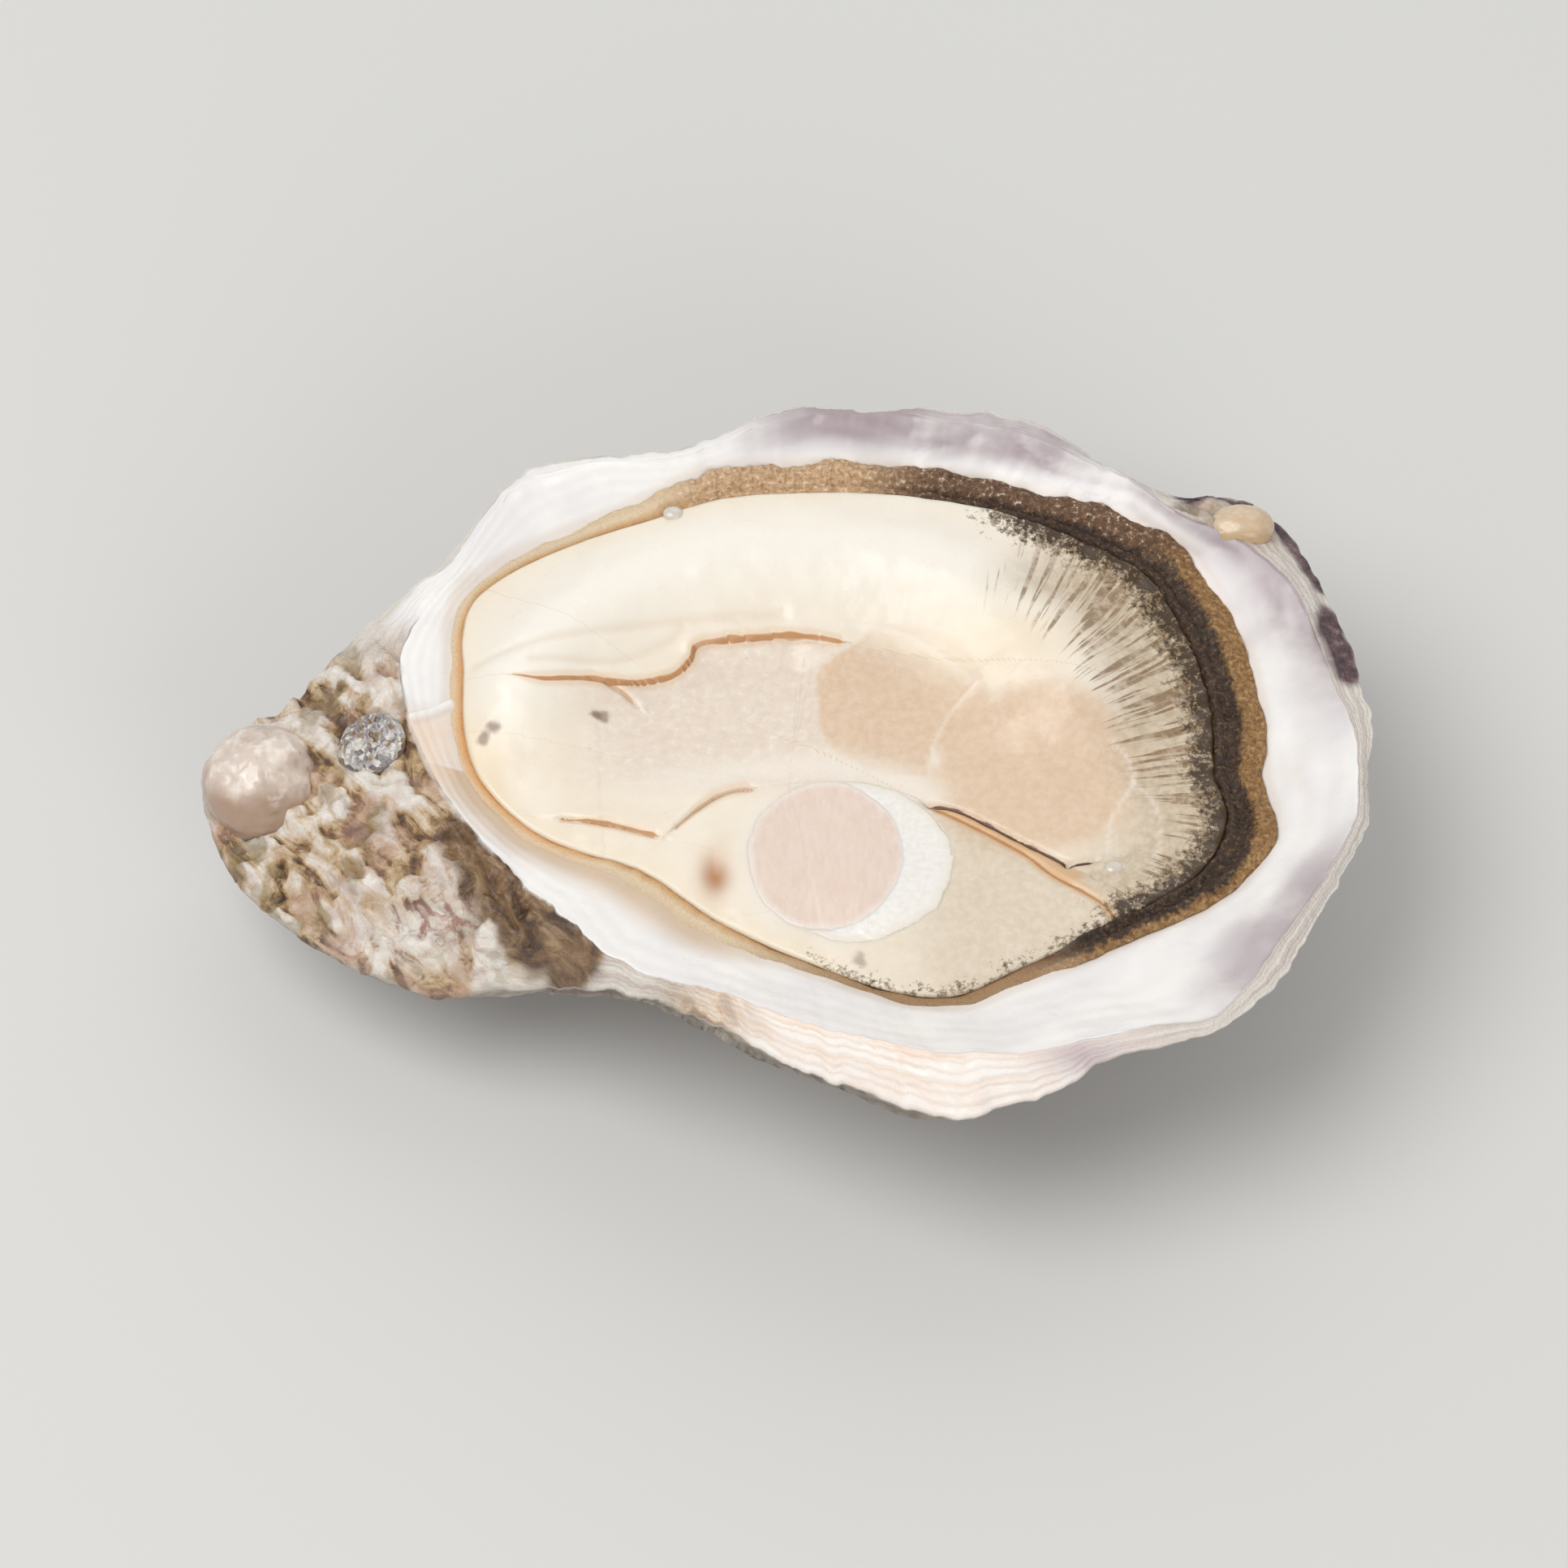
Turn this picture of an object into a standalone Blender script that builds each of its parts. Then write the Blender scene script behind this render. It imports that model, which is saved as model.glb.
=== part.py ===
"""An oyster on the half shell: the cupped lower shell of a Pacific oyster with its meat in it.

Run it with blender --background --python part.py, or from Blender's text editor.

Driving dimensions are in millimetres and become metres when a mesh is made. +X runs from the
hinge to the bill, +Y from the near long side to the far one, and +Z is up. The shell rests on a
small flat spot at z = 0, and the origin is there, under the middle of the shell's box.
"""

import math

import bmesh
import bpy
import numpy as np
from mathutils import Vector, noise

MM = 0.001  # metres in a millimetre
TURN = 2 * math.pi

# The lip, where the smooth nacre ends, going round from the bill: x, y and height.
LIP = [
    (48.9, -2.7, 22.8),
    (46.4, 8.2, 22.4),
    (42.6, 18.0, 23.0),
    (34.2, 23.4, 24.0),
    (22.0, 30.0, 24.9),
    (12.2, 32.3, 25.2),
    (1.6, 32.4, 25.0),
    (-8.8, 29.2, 24.4),
    (-22.4, 27.2, 22.9),
    (-27.4, 20.4, 21.4),
    (-32.6, 11.6, 20.2),
    (-31.0, 1.8, 19.8),
    (-25.4, -8.2, 19.6),
    (-18.2, -16.3, 19.8),
    (-11.8, -22.2, 20.5),
    (-5.1, -24.6, 21.0),
    (3.6, -28.4, 21.4),
    (11.6, -30.5, 21.6),
    (18.3, -31.2, 21.8),
    (30.0, -28.9, 22.2),
    (36.6, -27.4, 22.4),
    (42.4, -19.0, 22.8),
    (47.9, -9.0, 23.0),
]
# The margin, which is the shell's broken outer edge, in the same order.
MARGIN = [
    (49.9, -3.0, 22.0),
    (49.7, 5.0, 21.7),
    (47.7, 14.0, 21.0),
    (44.3, 22.6, 20.4),
    (41.6, 26.2, 20.4),
    (38.4, 27.2, 21.0),
    (34.9, 25.6, 22.6),
    (29.3, 27.4, 23.4),
    (21.0, 32.3, 24.1),
    (12.3, 33.6, 24.4),
    (8.6, 33.1, 24.3),
    (1.6, 34.0, 24.2),
    (-9.1, 30.4, 23.6),
    (-22.8, 28.7, 22.2),
    (-28.4, 21.6, 20.6),
    (-35.6, 15.6, 18.4),
    (-43.0, 8.2, 15.6),
    (-47.6, 6.2, 14.0),
    (-49.9, 2.2, 13.5),
    (-48.2, -4.6, 12.5),
    (-43.7, -10.6, 12.0),
    (-29.4, -18.6, 12.0),
    (-22.4, -18.8, 13.2),
    (-13.6, -22.6, 18.4),
    (-5.2, -26.2, 18.2),
    (5.0, -31.6, 17.8),
    (10.9, -34.2, 17.8),
    (14.9, -34.9, 18.0),
    (20.3, -33.8, 18.4),
    (28.6, -30.6, 20.9),
    (33.6, -29.7, 21.5),
    (41.2, -24.8, 21.8),
    (43.9, -19.2, 22.0),
    (48.9, -9.4, 22.2),
]
# The outer side of the mantle's fringe, in the same order: x, y, the height of the shell where
# the cup turns into the nacre band, and the width of the fringe.
FRINGE = [
    (41.0, -1.0, 18.2, 4.0),
    (40.9, 5.5, 18.5, 4.0),
    (39.6, 11.6, 18.9, 4.0),
    (37.4, 16.0, 19.3, 3.9),
    (34.3, 19.9, 20.0, 3.6),
    (28.0, 23.1, 20.4, 3.0),
    (21.6, 25.5, 20.8, 2.5),
    (14.9, 27.0, 21.0, 2.2),
    (8.3, 28.0, 21.0, 2.1),
    (1.6, 28.2, 21.0, 2.0),
    (-5.1, 27.2, 21.0, 1.9),
    (-11.7, 24.9, 20.7, 1.6),
    (-18.4, 22.6, 20.2, 1.4),
    (-24.4, 19.7, 19.8, 1.3),
    (-27.1, 16.8, 19.6, 1.2),
    (-28.2, 13.2, 19.2, 1.2),
    (-28.4, 10.0, 18.8, 1.2),
    (-27.8, 0.0, 18.0, 1.3),
    (-23.6, -5.6, 17.6, 1.3),
    (-13.8, -11.0, 17.4, 1.6),
    (-5.4, -17.4, 17.4, 1.6),
    (3.0, -21.0, 17.4, 1.2),
    (14.5, -24.0, 17.4, 1.2),
    (21.0, -21.4, 17.6, 1.5),
    (29.8, -17.4, 17.8, 2.3),
    (38.4, -13.0, 18.0, 3.5),
    (41.7, -6.8, 18.1, 3.8),
]
ORIGIN_SHIFT = (-0.06, 0.44)  # brings the middle of the shell's box over the origin

CUP_FLOOR = 3.6  # height of the cup's inside above the table
CUP_POWER = 2.1  # how suddenly the cup's wall rises towards its edge
BAND_POWER = 1.12  # how much the nacre band curls up towards the lip
SHOULDER_STEPS = 4  # broken layers between the lip and the margin
STEP_SHARE = 0.55  # how much of the drop to the margin is in those layers

UMBO = (-31.0, 0.5)  # the point that the shell has grown out from
WALL = 4.2  # thickness of the shell in the middle, at the margin, and what the hinge adds
MARGIN_WALL = 1.0
HINGE_WALL = 4.5
HINGE_FROM, HINGE_TO = -20.0, -38.0
FLANGE_SLOPE = 0.35  # the underside falls at least this steeply away from the margin
LAMELLAE = 7  # overlapping growth layers on the underside
LAMELLA_LIFT = 1.3
LAMELLA_ROOM = 40.0  # length of the shell behind an edge that lets it stand at its full lift
RIB_LIFT = 0.7  # ribs that radiate from the umbo
RIBS = ((7, 0.4, 0.6), (11, 1.9, 0.4))  # how many across the shell, where they start, their share

KNOB_CENTRE = (-44.6, 1.2, 14.6)  # the worn, rounded tip of the beak
KNOB_SIZE = (5.2, 5.2, 4.8)

BLISTER_CENTRE = (38.8, 22.6, 22.7)  # a pearly blister where the bill's frill starts
BLISTER_SIZE = (2.5, 2.1, 1.7)

GAP = 0.35  # clearance between pieces that touch
MEAT_LEVEL = 19.0
EDGE_THICKNESS = 1.5  # of the mantle where it meets the fringe
FRINGE_THICKNESS = 1.3

# The plump lobe along the far side: a ridge over this path.
LOBE_PATH = [(-24.0, 8.5), (-17.0, 16.0), (-6.0, 20.5), (8.0, 20.5), (18.0, 16.5), (25.0, 8.0)]
LOBE_HEIGHT = 3.0
LOBE_WIDTH = 6.4
# The torn edge of the upper membrane: the meat on its near side lies lower.
MEMBRANE_PATH = [(-22.5, 9.4), (-16.0, 9.8), (-9.5, 10.8), (-7.6, 13.0), (5.0, 13.4)]
MEMBRANE_DROP = 1.3
MEMBRANE_FADE = 7.0
# The slit between the two lobes of the mantle, from the muscle to the fringe.
SLIT_PATH = [(12.5, -3.6), (17.6, -6.0), (22.6, -10.4), (27.6, -15.4)]
SLIT_DEPTH = 1.1
SLIT_WIDTH = 1.1
# The folds and the small hole on the near side.
FOLD_PATHS = [
    [(-20.4, -5.0), (-15.6, -5.5), (-10.8, -6.8)],
    [(-10.4, -6.4), (-6.4, -3.2), (-2.7, -2.0)],
]
FOLD_DEPTH = 0.6
FOLD_WIDTH = 0.9
PIT_CENTRE = (-5.8, -10.6)
PIT_SIZE = (1.3, 2.2)
PIT_DEPTH = 0.9
MEAT_SWELL = 0.45  # the uneven swelling of the whole meat
MEAT_SWELL_SIZE = 9.0

# The muscle that held the shell shut, cut through: centre and half sizes of its two parts.
PINK_MUSCLE = (3.6, -9.2, 6.8, 7.5)
WHITE_MUSCLE = (6.2, -9.8, 8.3, 8.1)
MUSCLE_DOME = 0.5
MUSCLE_MOAT = 0.8
MOAT_WIDTH = 1.0

LIGAMENT = (-35.2, 2.6, 2.9, 2.8)  # the dark pad of the hinge: centre and half sizes
LIGAMENT_HEIGHT = 1.1  # how far it stands above the shell, and how deep it is set in
LIGAMENT_DEPTH = 1.2
LIGAMENT_LUMPS = 0.5

SEGMENTS = 96  # steps round the shell, the meat and the fringe


def ring(stations):
    """A function of the angle that runs smoothly round through a table's stations. It gives the
    radius from the origin, then each column that follows x and y."""
    table = np.array(stations)
    angle = np.arctan2(table[:, 1], table[:, 0]) % TURN
    order = np.argsort(angle)
    knots = angle[order]
    radius = np.hypot(table[:, 0], table[:, 1])
    values = np.column_stack([radius, table[:, 2:]])[order]
    knots = np.concatenate([knots[-2:] - TURN, knots, knots[:2] + TURN])
    values = np.concatenate([values[-2:], values, values[:2]])
    slopes = (values[2:] - values[:-2]) / (knots[2:] - knots[:-2])[:, None]
    knots, values = knots[1:-1], values[1:-1]

    def at(theta):
        theta = np.asarray(theta, float) % TURN
        i = np.clip(np.searchsorted(knots, theta, side="right") - 1, 0, len(knots) - 2)
        step = knots[i + 1] - knots[i]
        u = ((theta - knots[i]) / step)[..., None]
        step = step[..., None]
        rise = 3 * u**2 - 2 * u**3
        curve = values[i] * (1 - rise) + values[i + 1] * rise
        curve += slopes[i] * step * (u - 2 * u**2 + u**3)
        curve += slopes[i + 1] * step * (u**3 - u**2)
        return tuple(np.moveaxis(curve, -1, 0))

    return at


lip = ring(LIP)
margin = ring(MARGIN)
fringe = ring(FRINGE)


def polar(x, y):
    """Angle and radius of points given by x and y."""
    return np.arctan2(y, x), np.hypot(x, y)


def grain(x, y, size, seed=0.0):
    """Smooth noise from -1 to 1 over the plan, with features of this size."""
    values = [
        noise.noise(Vector((a / size, b / size, seed)))
        for a, b in zip(np.ravel(x), np.ravel(y))
    ]
    return np.reshape(values, np.shape(x))


def to_path(x, y, path):
    """Distance of points from a path, and the side that they are on: above 0 is its far side."""
    nearest = np.full(np.shape(x), np.inf)
    side = np.zeros(np.shape(x))
    for (ax, ay), (bx, by) in zip(path, path[1:]):
        ux, uy = bx - ax, by - ay
        along = np.clip(((x - ax) * ux + (y - ay) * uy) / (ux**2 + uy**2), 0, 1)
        dx, dy = x - ax - along * ux, y - ay - along * uy
        distance = np.hypot(dx, dy)
        closer = distance < nearest
        nearest = np.where(closer, distance, nearest)
        side = np.where(closer, np.sign(ux * dy - uy * dx), side)
    return nearest, side


def hump(distance, width):
    """A rounded profile: 1 in the middle and near 0 past its width."""
    return np.exp(-((distance / width) ** 2))


def ellipse_share(x, y, ellipse):
    """0 in the middle of an ellipse given by its centre and half sizes, and 1 on its edge."""
    cx, cy, half_x, half_y = ellipse
    return np.hypot((x - cx) / half_x, (y - cy) / half_y)


def ribs(x, y):
    """The wave of the ribs, which keep to rays from the umbo."""
    heading = np.arctan2(y - UMBO[1], x - UMBO[0])
    return sum(share * np.sin(count * heading * 2 + start) for count, start, share in RIBS)


def upper_face(theta, radius, step_share=STEP_SHARE):
    """Height of the shell's upper side: the cup, the nacre band and the broken shoulder."""
    lip_radius, lip_height = lip(theta)
    margin_radius, margin_height = margin(theta)
    edge_radius, cup_height, width = fringe(theta)
    cup_radius = edge_radius - width
    into_cup = np.clip(radius / cup_radius, 0, 1)
    cup = CUP_FLOOR + (cup_height - CUP_FLOOR) * into_cup**CUP_POWER
    into_band = np.clip((radius - cup_radius) / (lip_radius - cup_radius), 0, 1)
    band = (lip_height - cup_height) * into_band**BAND_POWER
    into_shoulder = np.clip((radius - lip_radius) / (margin_radius - lip_radius), 0, 1)
    layer = into_shoulder * SHOULDER_STEPS
    steps = (np.floor(layer) + (layer % 1) ** 3) / SHOULDER_STEPS
    fall = (1 - step_share) * into_shoulder**1.5 + step_share * steps
    return cup + band - (lip_height - margin_height) * fall


def lower_face(x, y):
    """Height of the shell's underside before its ribs and layers."""
    theta, radius = polar(x, y)
    margin_radius, margin_height = margin(theta)
    share = np.clip(radius / margin_radius, 0, 1)
    hinge = np.clip((HINGE_FROM - x) / (HINGE_FROM - HINGE_TO), 0, 1) ** 1.5
    wall = MARGIN_WALL + (WALL - MARGIN_WALL + HINGE_WALL * hinge) * (1 - share**7)
    flange = margin_height - MARGIN_WALL - FLANGE_SLOPE * margin_radius * (1 - share)
    return np.minimum(upper_face(theta, radius, 0) - wall, flange)


def lower_slope(x, y, reach=0.5):
    """The slope of the underside along X and along Y."""
    along_x = lower_face(x + reach, y) - lower_face(x - reach, y)
    along_y = lower_face(x, y + reach) - lower_face(x, y - reach)
    return along_x / (2 * reach), along_y / (2 * reach)


def meat_radius(theta):
    edge_radius, _, width = fringe(theta)
    return edge_radius - width - GAP / 2


def meat_top(x, y):
    """Height of the meat's upper side, with its lobe, folds and slit."""
    theta, radius = polar(x, y)
    _, cup_height, _ = fringe(theta)
    share = np.clip(radius / meat_radius(theta), 0, 1)
    edge = cup_height + EDGE_THICKNESS
    height = MEAT_LEVEL + (edge - MEAT_LEVEL) * share**4
    height += LOBE_HEIGHT * hump(to_path(x, y, LOBE_PATH)[0], LOBE_WIDTH) * (1 - share**8)
    torn, side = to_path(x, y, MEMBRANE_PATH)
    height -= np.where(side < 0, MEMBRANE_DROP * np.exp(-torn / MEMBRANE_FADE), 0)
    height -= SLIT_DEPTH * hump(to_path(x, y, SLIT_PATH)[0], SLIT_WIDTH)
    for path in FOLD_PATHS:
        height -= FOLD_DEPTH * hump(to_path(x, y, path)[0], FOLD_WIDTH)
    height -= PIT_DEPTH * hump(ellipse_share(x, y, PIT_CENTRE + PIT_SIZE), 1)
    for muscle in (PINK_MUSCLE, WHITE_MUSCLE):
        outside = (ellipse_share(x, y, muscle) - 1) * min(muscle[2:])
        height -= MUSCLE_MOAT * hump(outside, MOAT_WIDTH)
    return height + MEAT_SWELL * grain(x, y, MEAT_SWELL_SIZE) * (1 - share**6)


def polar_rows(angles, shares, radius_of, height_of):
    """One ring of points for each share of the radius, as (share, angle, xyz)."""
    rows = []
    for share in shares:
        radius = share * radius_of(angles)
        x, y = radius * np.cos(angles), radius * np.sin(angles)
        rows.append(np.column_stack([x, y, height_of(x, y)]))
    return rows


def pole(x, y, z, count):
    return np.tile((x, y, z), (count, 1))


def add_object(name, mesh, collection, material=None):
    obj = bpy.data.objects.new(name, mesh)
    collection.objects.link(obj)
    if material:
        mesh.materials.append(material)
    return obj


def sphere_mesh(name, rows):
    """A sphere whose rings of vertices are moved to these rows, the first and last being poles."""
    segments, steps = len(rows[0]), len(rows) - 1
    bm = bmesh.new()
    bmesh.ops.create_uvsphere(bm, u_segments=segments, v_segments=steps, radius=1)
    for vert in bm.verts:
        row = round(math.acos(max(-1, min(1, vert.co.z))) / math.pi * steps)
        column = round(math.atan2(vert.co.y, vert.co.x) / TURN * segments) % segments
        vert.co = Vector(rows[row][column]) * MM
    mesh = bpy.data.meshes.new(name)
    bm.to_mesh(mesh)
    bm.free()
    mesh.shade_smooth()
    return mesh


def angles_of(segments):
    return np.arange(segments) * TURN / segments


def grow_underside(angles):
    """The underside as rings that shrink towards the umbo. Each growth layer ends in an edge that
    stands proud of the next one."""
    margin_radius, _ = margin(angles)
    margin_x, margin_y = margin_radius * np.cos(angles), margin_radius * np.sin(angles)
    room = np.hypot(margin_x - UMBO[0], margin_y - UMBO[1])
    room = np.clip(room / LAMELLA_ROOM, 0, 1) ** 1.5
    stages = []
    for k in range(LAMELLAE):
        edge = (LAMELLAE - k) / (LAMELLAE + 0.5)
        stages += [(edge + 0.012, 0.1), (edge, 1.0), (edge - 0.055, 0.4)]
    rows = []
    for stage, lift in stages:
        x = UMBO[0] + stage * (margin_x - UMBO[0])
        y = UMBO[1] + stage * (margin_y - UMBO[1])
        ragged = 0.8 + 0.5 * grain(margin_x, margin_y, 7.0, round(stage * LAMELLAE) * 3.0)
        wave = RIB_LIFT * ribs(margin_x, margin_y) * stage * np.clip((1 - stage) * 5, 0, 1)
        out = room * (LAMELLA_LIFT * lift * ragged + wave) * np.clip(stage * 2, 0, 1)
        slope_x, slope_y = lower_slope(x, y)
        steep = np.sqrt(1 + slope_x**2 + slope_y**2)
        z = lower_face(x, y) - out / steep
        x = x + out * slope_x / steep
        y = y + out * slope_y / steep
        rows.append(np.column_stack([x, y, np.maximum(z, 0)]))
    return rows


def shell_mesh():
    angles = angles_of(SEGMENTS)
    lip_radius, _ = lip(angles)
    spread = margin(angles)[0] - lip_radius
    edge_radius, _, width = fringe(angles)
    cup_radius = edge_radius - width
    radii = [share * cup_radius for share in (0.18, 0.42, 0.65, 0.85)]
    radii += [cup_radius + share * (lip_radius - cup_radius) for share in (0, 0.3, 0.6, 0.85, 1)]
    radii += [lip_radius + share * spread for share in (0.22, 0.28, 0.5, 0.72, 0.78, 1.0)]
    rows = [pole(0, 0, CUP_FLOOR, SEGMENTS)]
    for radius in radii:
        z = upper_face(angles, radius)
        rows.append(np.column_stack([radius * np.cos(angles), radius * np.sin(angles), z]))
    rows += grow_underside(angles)
    rows.append(pole(*UMBO, float(lower_face(*UMBO)), SEGMENTS))
    return sphere_mesh("shell", rows)


def lump_mesh(name, centre, size, segments):
    """A rounded lump, a little uneven, that is fused to the shell."""
    mesh = bpy.data.meshes.new(name)
    bm = bmesh.new()
    bmesh.ops.create_uvsphere(bm, u_segments=segments, v_segments=segments * 3 // 5, radius=1)
    for vert in bm.verts:
        swell = 1 + 0.06 * noise.noise(vert.co * 1.6)
        point = [c + s * v * swell for c, s, v in zip(centre, size, vert.co)]
        vert.co = Vector(point) * MM
    bm.to_mesh(mesh)
    bm.free()
    return mesh


def meat_floor(x, y):
    return upper_face(*polar(x, y)) + GAP


def mantle_mesh():
    angles = angles_of(SEGMENTS)
    top = (0.09, 0.18, 0.27, 0.36, 0.45, 0.54, 0.63, 0.72, 0.80, 0.87, 0.93, 0.98)
    rows = [pole(0, 0, float(meat_top(np.zeros(1), np.zeros(1))[0]), SEGMENTS)]
    rows += polar_rows(angles, top, meat_radius, meat_top)
    middle = lambda x, y: 0.5 * (meat_top(x, y) + meat_floor(x, y))
    rows += polar_rows(angles, (1.0,), meat_radius, middle)
    rows += polar_rows(angles, (0.975, 0.83, 0.65, 0.41, 0.15), meat_radius, meat_floor)
    rows.append(pole(0, 0, CUP_FLOOR + GAP, SEGMENTS))
    return sphere_mesh("mantle", rows)


def fringe_mesh(minor_steps=8):
    """The fringe lies on the nacre band all the way round, so it starts as a torus."""
    bpy.ops.mesh.primitive_torus_add(
        major_segments=SEGMENTS, minor_segments=minor_steps, major_radius=1, minor_radius=0.25
    )
    source = bpy.context.object
    mesh = source.data
    mesh.name = "mantle_fringe"
    bpy.data.objects.remove(source)
    for vert in mesh.vertices:
        theta = math.atan2(vert.co.y, vert.co.x)
        minor = math.atan2(vert.co.z, math.hypot(vert.co.x, vert.co.y) - 1)
        edge_radius, _, width = fringe(theta)
        ruffle = 0.25 * math.sin(23 * theta) + 0.2 * math.sin(37 * theta + 1)
        half = (width - GAP / 2) / 2
        radius = edge_radius - half + half * math.cos(minor)
        radius += ruffle * max(0.0, math.cos(minor)) * width / 4
        base = upper_face(theta, radius) + GAP
        thick = FRINGE_THICKNESS * (0.5 + 0.5 * min(width / 3, 1)) * (1 + 0.3 * ruffle)
        rise = 0.3 + 0.7 * math.sin(minor) if math.sin(minor) > 0.01 else 0.3
        if math.sin(minor) < -0.01:
            rise = 0.0
        vert.co = Vector((radius * math.cos(theta), radius * math.sin(theta), base + thick * rise))
        vert.co *= MM
    mesh.shade_smooth()
    return mesh


def column_mesh(name, ellipse, top_of, floor_of, grow=0.0, segments=32):
    """An upright column on an ellipse, between two heights."""
    cx, cy, half_x, half_y = ellipse
    angles = angles_of(segments)

    def rows_at(shares, height_of):
        rows = []
        for share in shares:
            x = cx + share * (half_x + grow) * np.cos(angles)
            y = cy + share * (half_y + grow) * np.sin(angles)
            rows.append(np.column_stack([x, y, height_of(x, y)]))
        return rows

    middle = [np.array([cx]), np.array([cy])]
    rows = [pole(cx, cy, float(top_of(*middle)[0]), segments)]
    rows += rows_at((0.35, 0.7, 0.94), top_of)
    rows += rows_at((1.0,), lambda x, y: 0.9 * top_of(x, y) + 0.1 * floor_of(x, y))
    rows += rows_at((1.0, 0.5), floor_of)
    rows.append(pole(cx, cy, float(floor_of(*middle)[0]), segments))
    return sphere_mesh(name, rows)


def muscle_top(ellipse):
    """The cut face of a muscle, a little domed."""

    def at(x, y):
        share = np.clip(ellipse_share(x, y, ellipse), 0, 1)
        return MEAT_LEVEL + MUSCLE_DOME * (1 - share**2) + 0.2

    return at


def through(height):
    return lambda x, y: np.full(np.shape(x), height)


def ligament_mesh():
    def top(x, y):
        share = np.clip(ellipse_share(x, y, LIGAMENT), 0, 1)
        lumps = 1 + LIGAMENT_LUMPS * grain(x, y, 1.3, 4.0)
        return upper_face(*polar(x, y)) + LIGAMENT_HEIGHT * lumps * np.sqrt(1 - 0.9 * share**2)

    bottom = float(upper_face(*polar(*LIGAMENT[:2]))) - LIGAMENT_DEPTH
    return column_mesh("ligament", LIGAMENT, top, through(bottom), segments=20)


def ligament_pocket_mesh():
    surface = float(upper_face(*polar(*LIGAMENT[:2])))
    low, high = through(surface - LIGAMENT_DEPTH - GAP), through(surface + 5)
    return column_mesh("ligament_pocket", LIGAMENT, high, low, grow=GAP, segments=20)


def material(name, colour, roughness, metallic=0.0):
    made = bpy.data.materials.new(name)
    made.use_nodes = True
    shader = made.node_tree.nodes["Principled BSDF"]
    shader.inputs["Base Color"].default_value = (*colour, 1)
    shader.inputs["Roughness"].default_value = roughness
    shader.inputs["Metallic"].default_value = metallic
    return made


def boolean(obj, other, operation):
    modifier = obj.modifiers.new(f"{operation.lower()} {other.name}", "BOOLEAN")
    modifier.operation = operation
    modifier.solver = "EXACT"
    modifier.object = other


def helper(obj):
    obj.hide_render = True
    obj.display_type = "WIRE"
    return obj


def new_collection(name):
    made = bpy.data.collections.new(name)
    bpy.context.scene.collection.children.link(made)
    return made


def main():
    for obj in list(bpy.data.objects):
        bpy.data.objects.remove(obj)
    oyster = new_collection("oyster on the half shell")
    cutters = new_collection("cutters")
    root = bpy.data.objects.new("oyster", None)
    oyster.objects.link(root)
    root.location = (ORIGIN_SHIFT[0] * MM, ORIGIN_SHIFT[1] * MM, 0)

    nacre = material("nacre and shell", (0.83, 0.78, 0.72), 0.35)
    flesh = material("mantle flesh", (0.86, 0.74, 0.56), 0.3)
    dark = material("fringe", (0.10, 0.065, 0.03), 0.4)
    pink = material("pink muscle", (0.82, 0.66, 0.58), 0.3)
    white = material("white muscle", (0.90, 0.88, 0.85), 0.3)
    horn = material("ligament", (0.12, 0.12, 0.16), 0.3)

    shell = add_object("shell", shell_mesh(), oyster, nacre)
    lumps = []
    for name, centre, size, segments in (
        ("beak_knob", KNOB_CENTRE, KNOB_SIZE, 20),
        ("blister", BLISTER_CENTRE, BLISTER_SIZE, 12),
    ):
        lumps.append(helper(add_object(name, lump_mesh(name, centre, size, segments), cutters)))
        boolean(shell, lumps[-1], "UNION")
    pocket = helper(add_object("ligament_pocket", ligament_pocket_mesh(), cutters))
    boolean(shell, pocket, "DIFFERENCE")

    mantle = add_object("mantle", mantle_mesh(), oyster, flesh)
    low, high = through(CUP_FLOOR - 3), through(MEAT_LEVEL + 6)
    around = {}
    for name, ellipse in (("pink", PINK_MUSCLE), ("white", WHITE_MUSCLE)):
        mesh = column_mesh(f"around_{name}", ellipse, high, low, grow=GAP)
        around[name] = helper(add_object(f"around_{name}", mesh, cutters))
        boolean(mantle, around[name], "DIFFERENCE")

    fringe_object = add_object("mantle_fringe", fringe_mesh(), oyster, dark)
    parts = [shell, mantle, fringe_object]
    mesh = column_mesh("adductor_muscle", PINK_MUSCLE, muscle_top(PINK_MUSCLE), meat_floor)
    parts.append(add_object("adductor_muscle", mesh, oyster, pink))
    mesh = column_mesh("catch_muscle", WHITE_MUSCLE, muscle_top(WHITE_MUSCLE), meat_floor)
    catch = add_object("catch_muscle", mesh, oyster, white)
    boolean(catch, around["pink"], "DIFFERENCE")
    parts.append(catch)
    parts.append(add_object("ligament", ligament_mesh(), oyster, horn))
    for obj in parts + lumps + [pocket] + list(around.values()):
        obj.parent = root


main()
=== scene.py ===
"""The looks of an oyster on the half shell: nacre and broken shell layers, and the wet meat.

Sizes are in millimetres and become metres when a mesh is made. +X runs from the hinge to the
bill, +Y from the near long side to the far one, and +Z is up.
"""

import math

import bpy
import numpy as np
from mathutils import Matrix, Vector, noise


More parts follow.
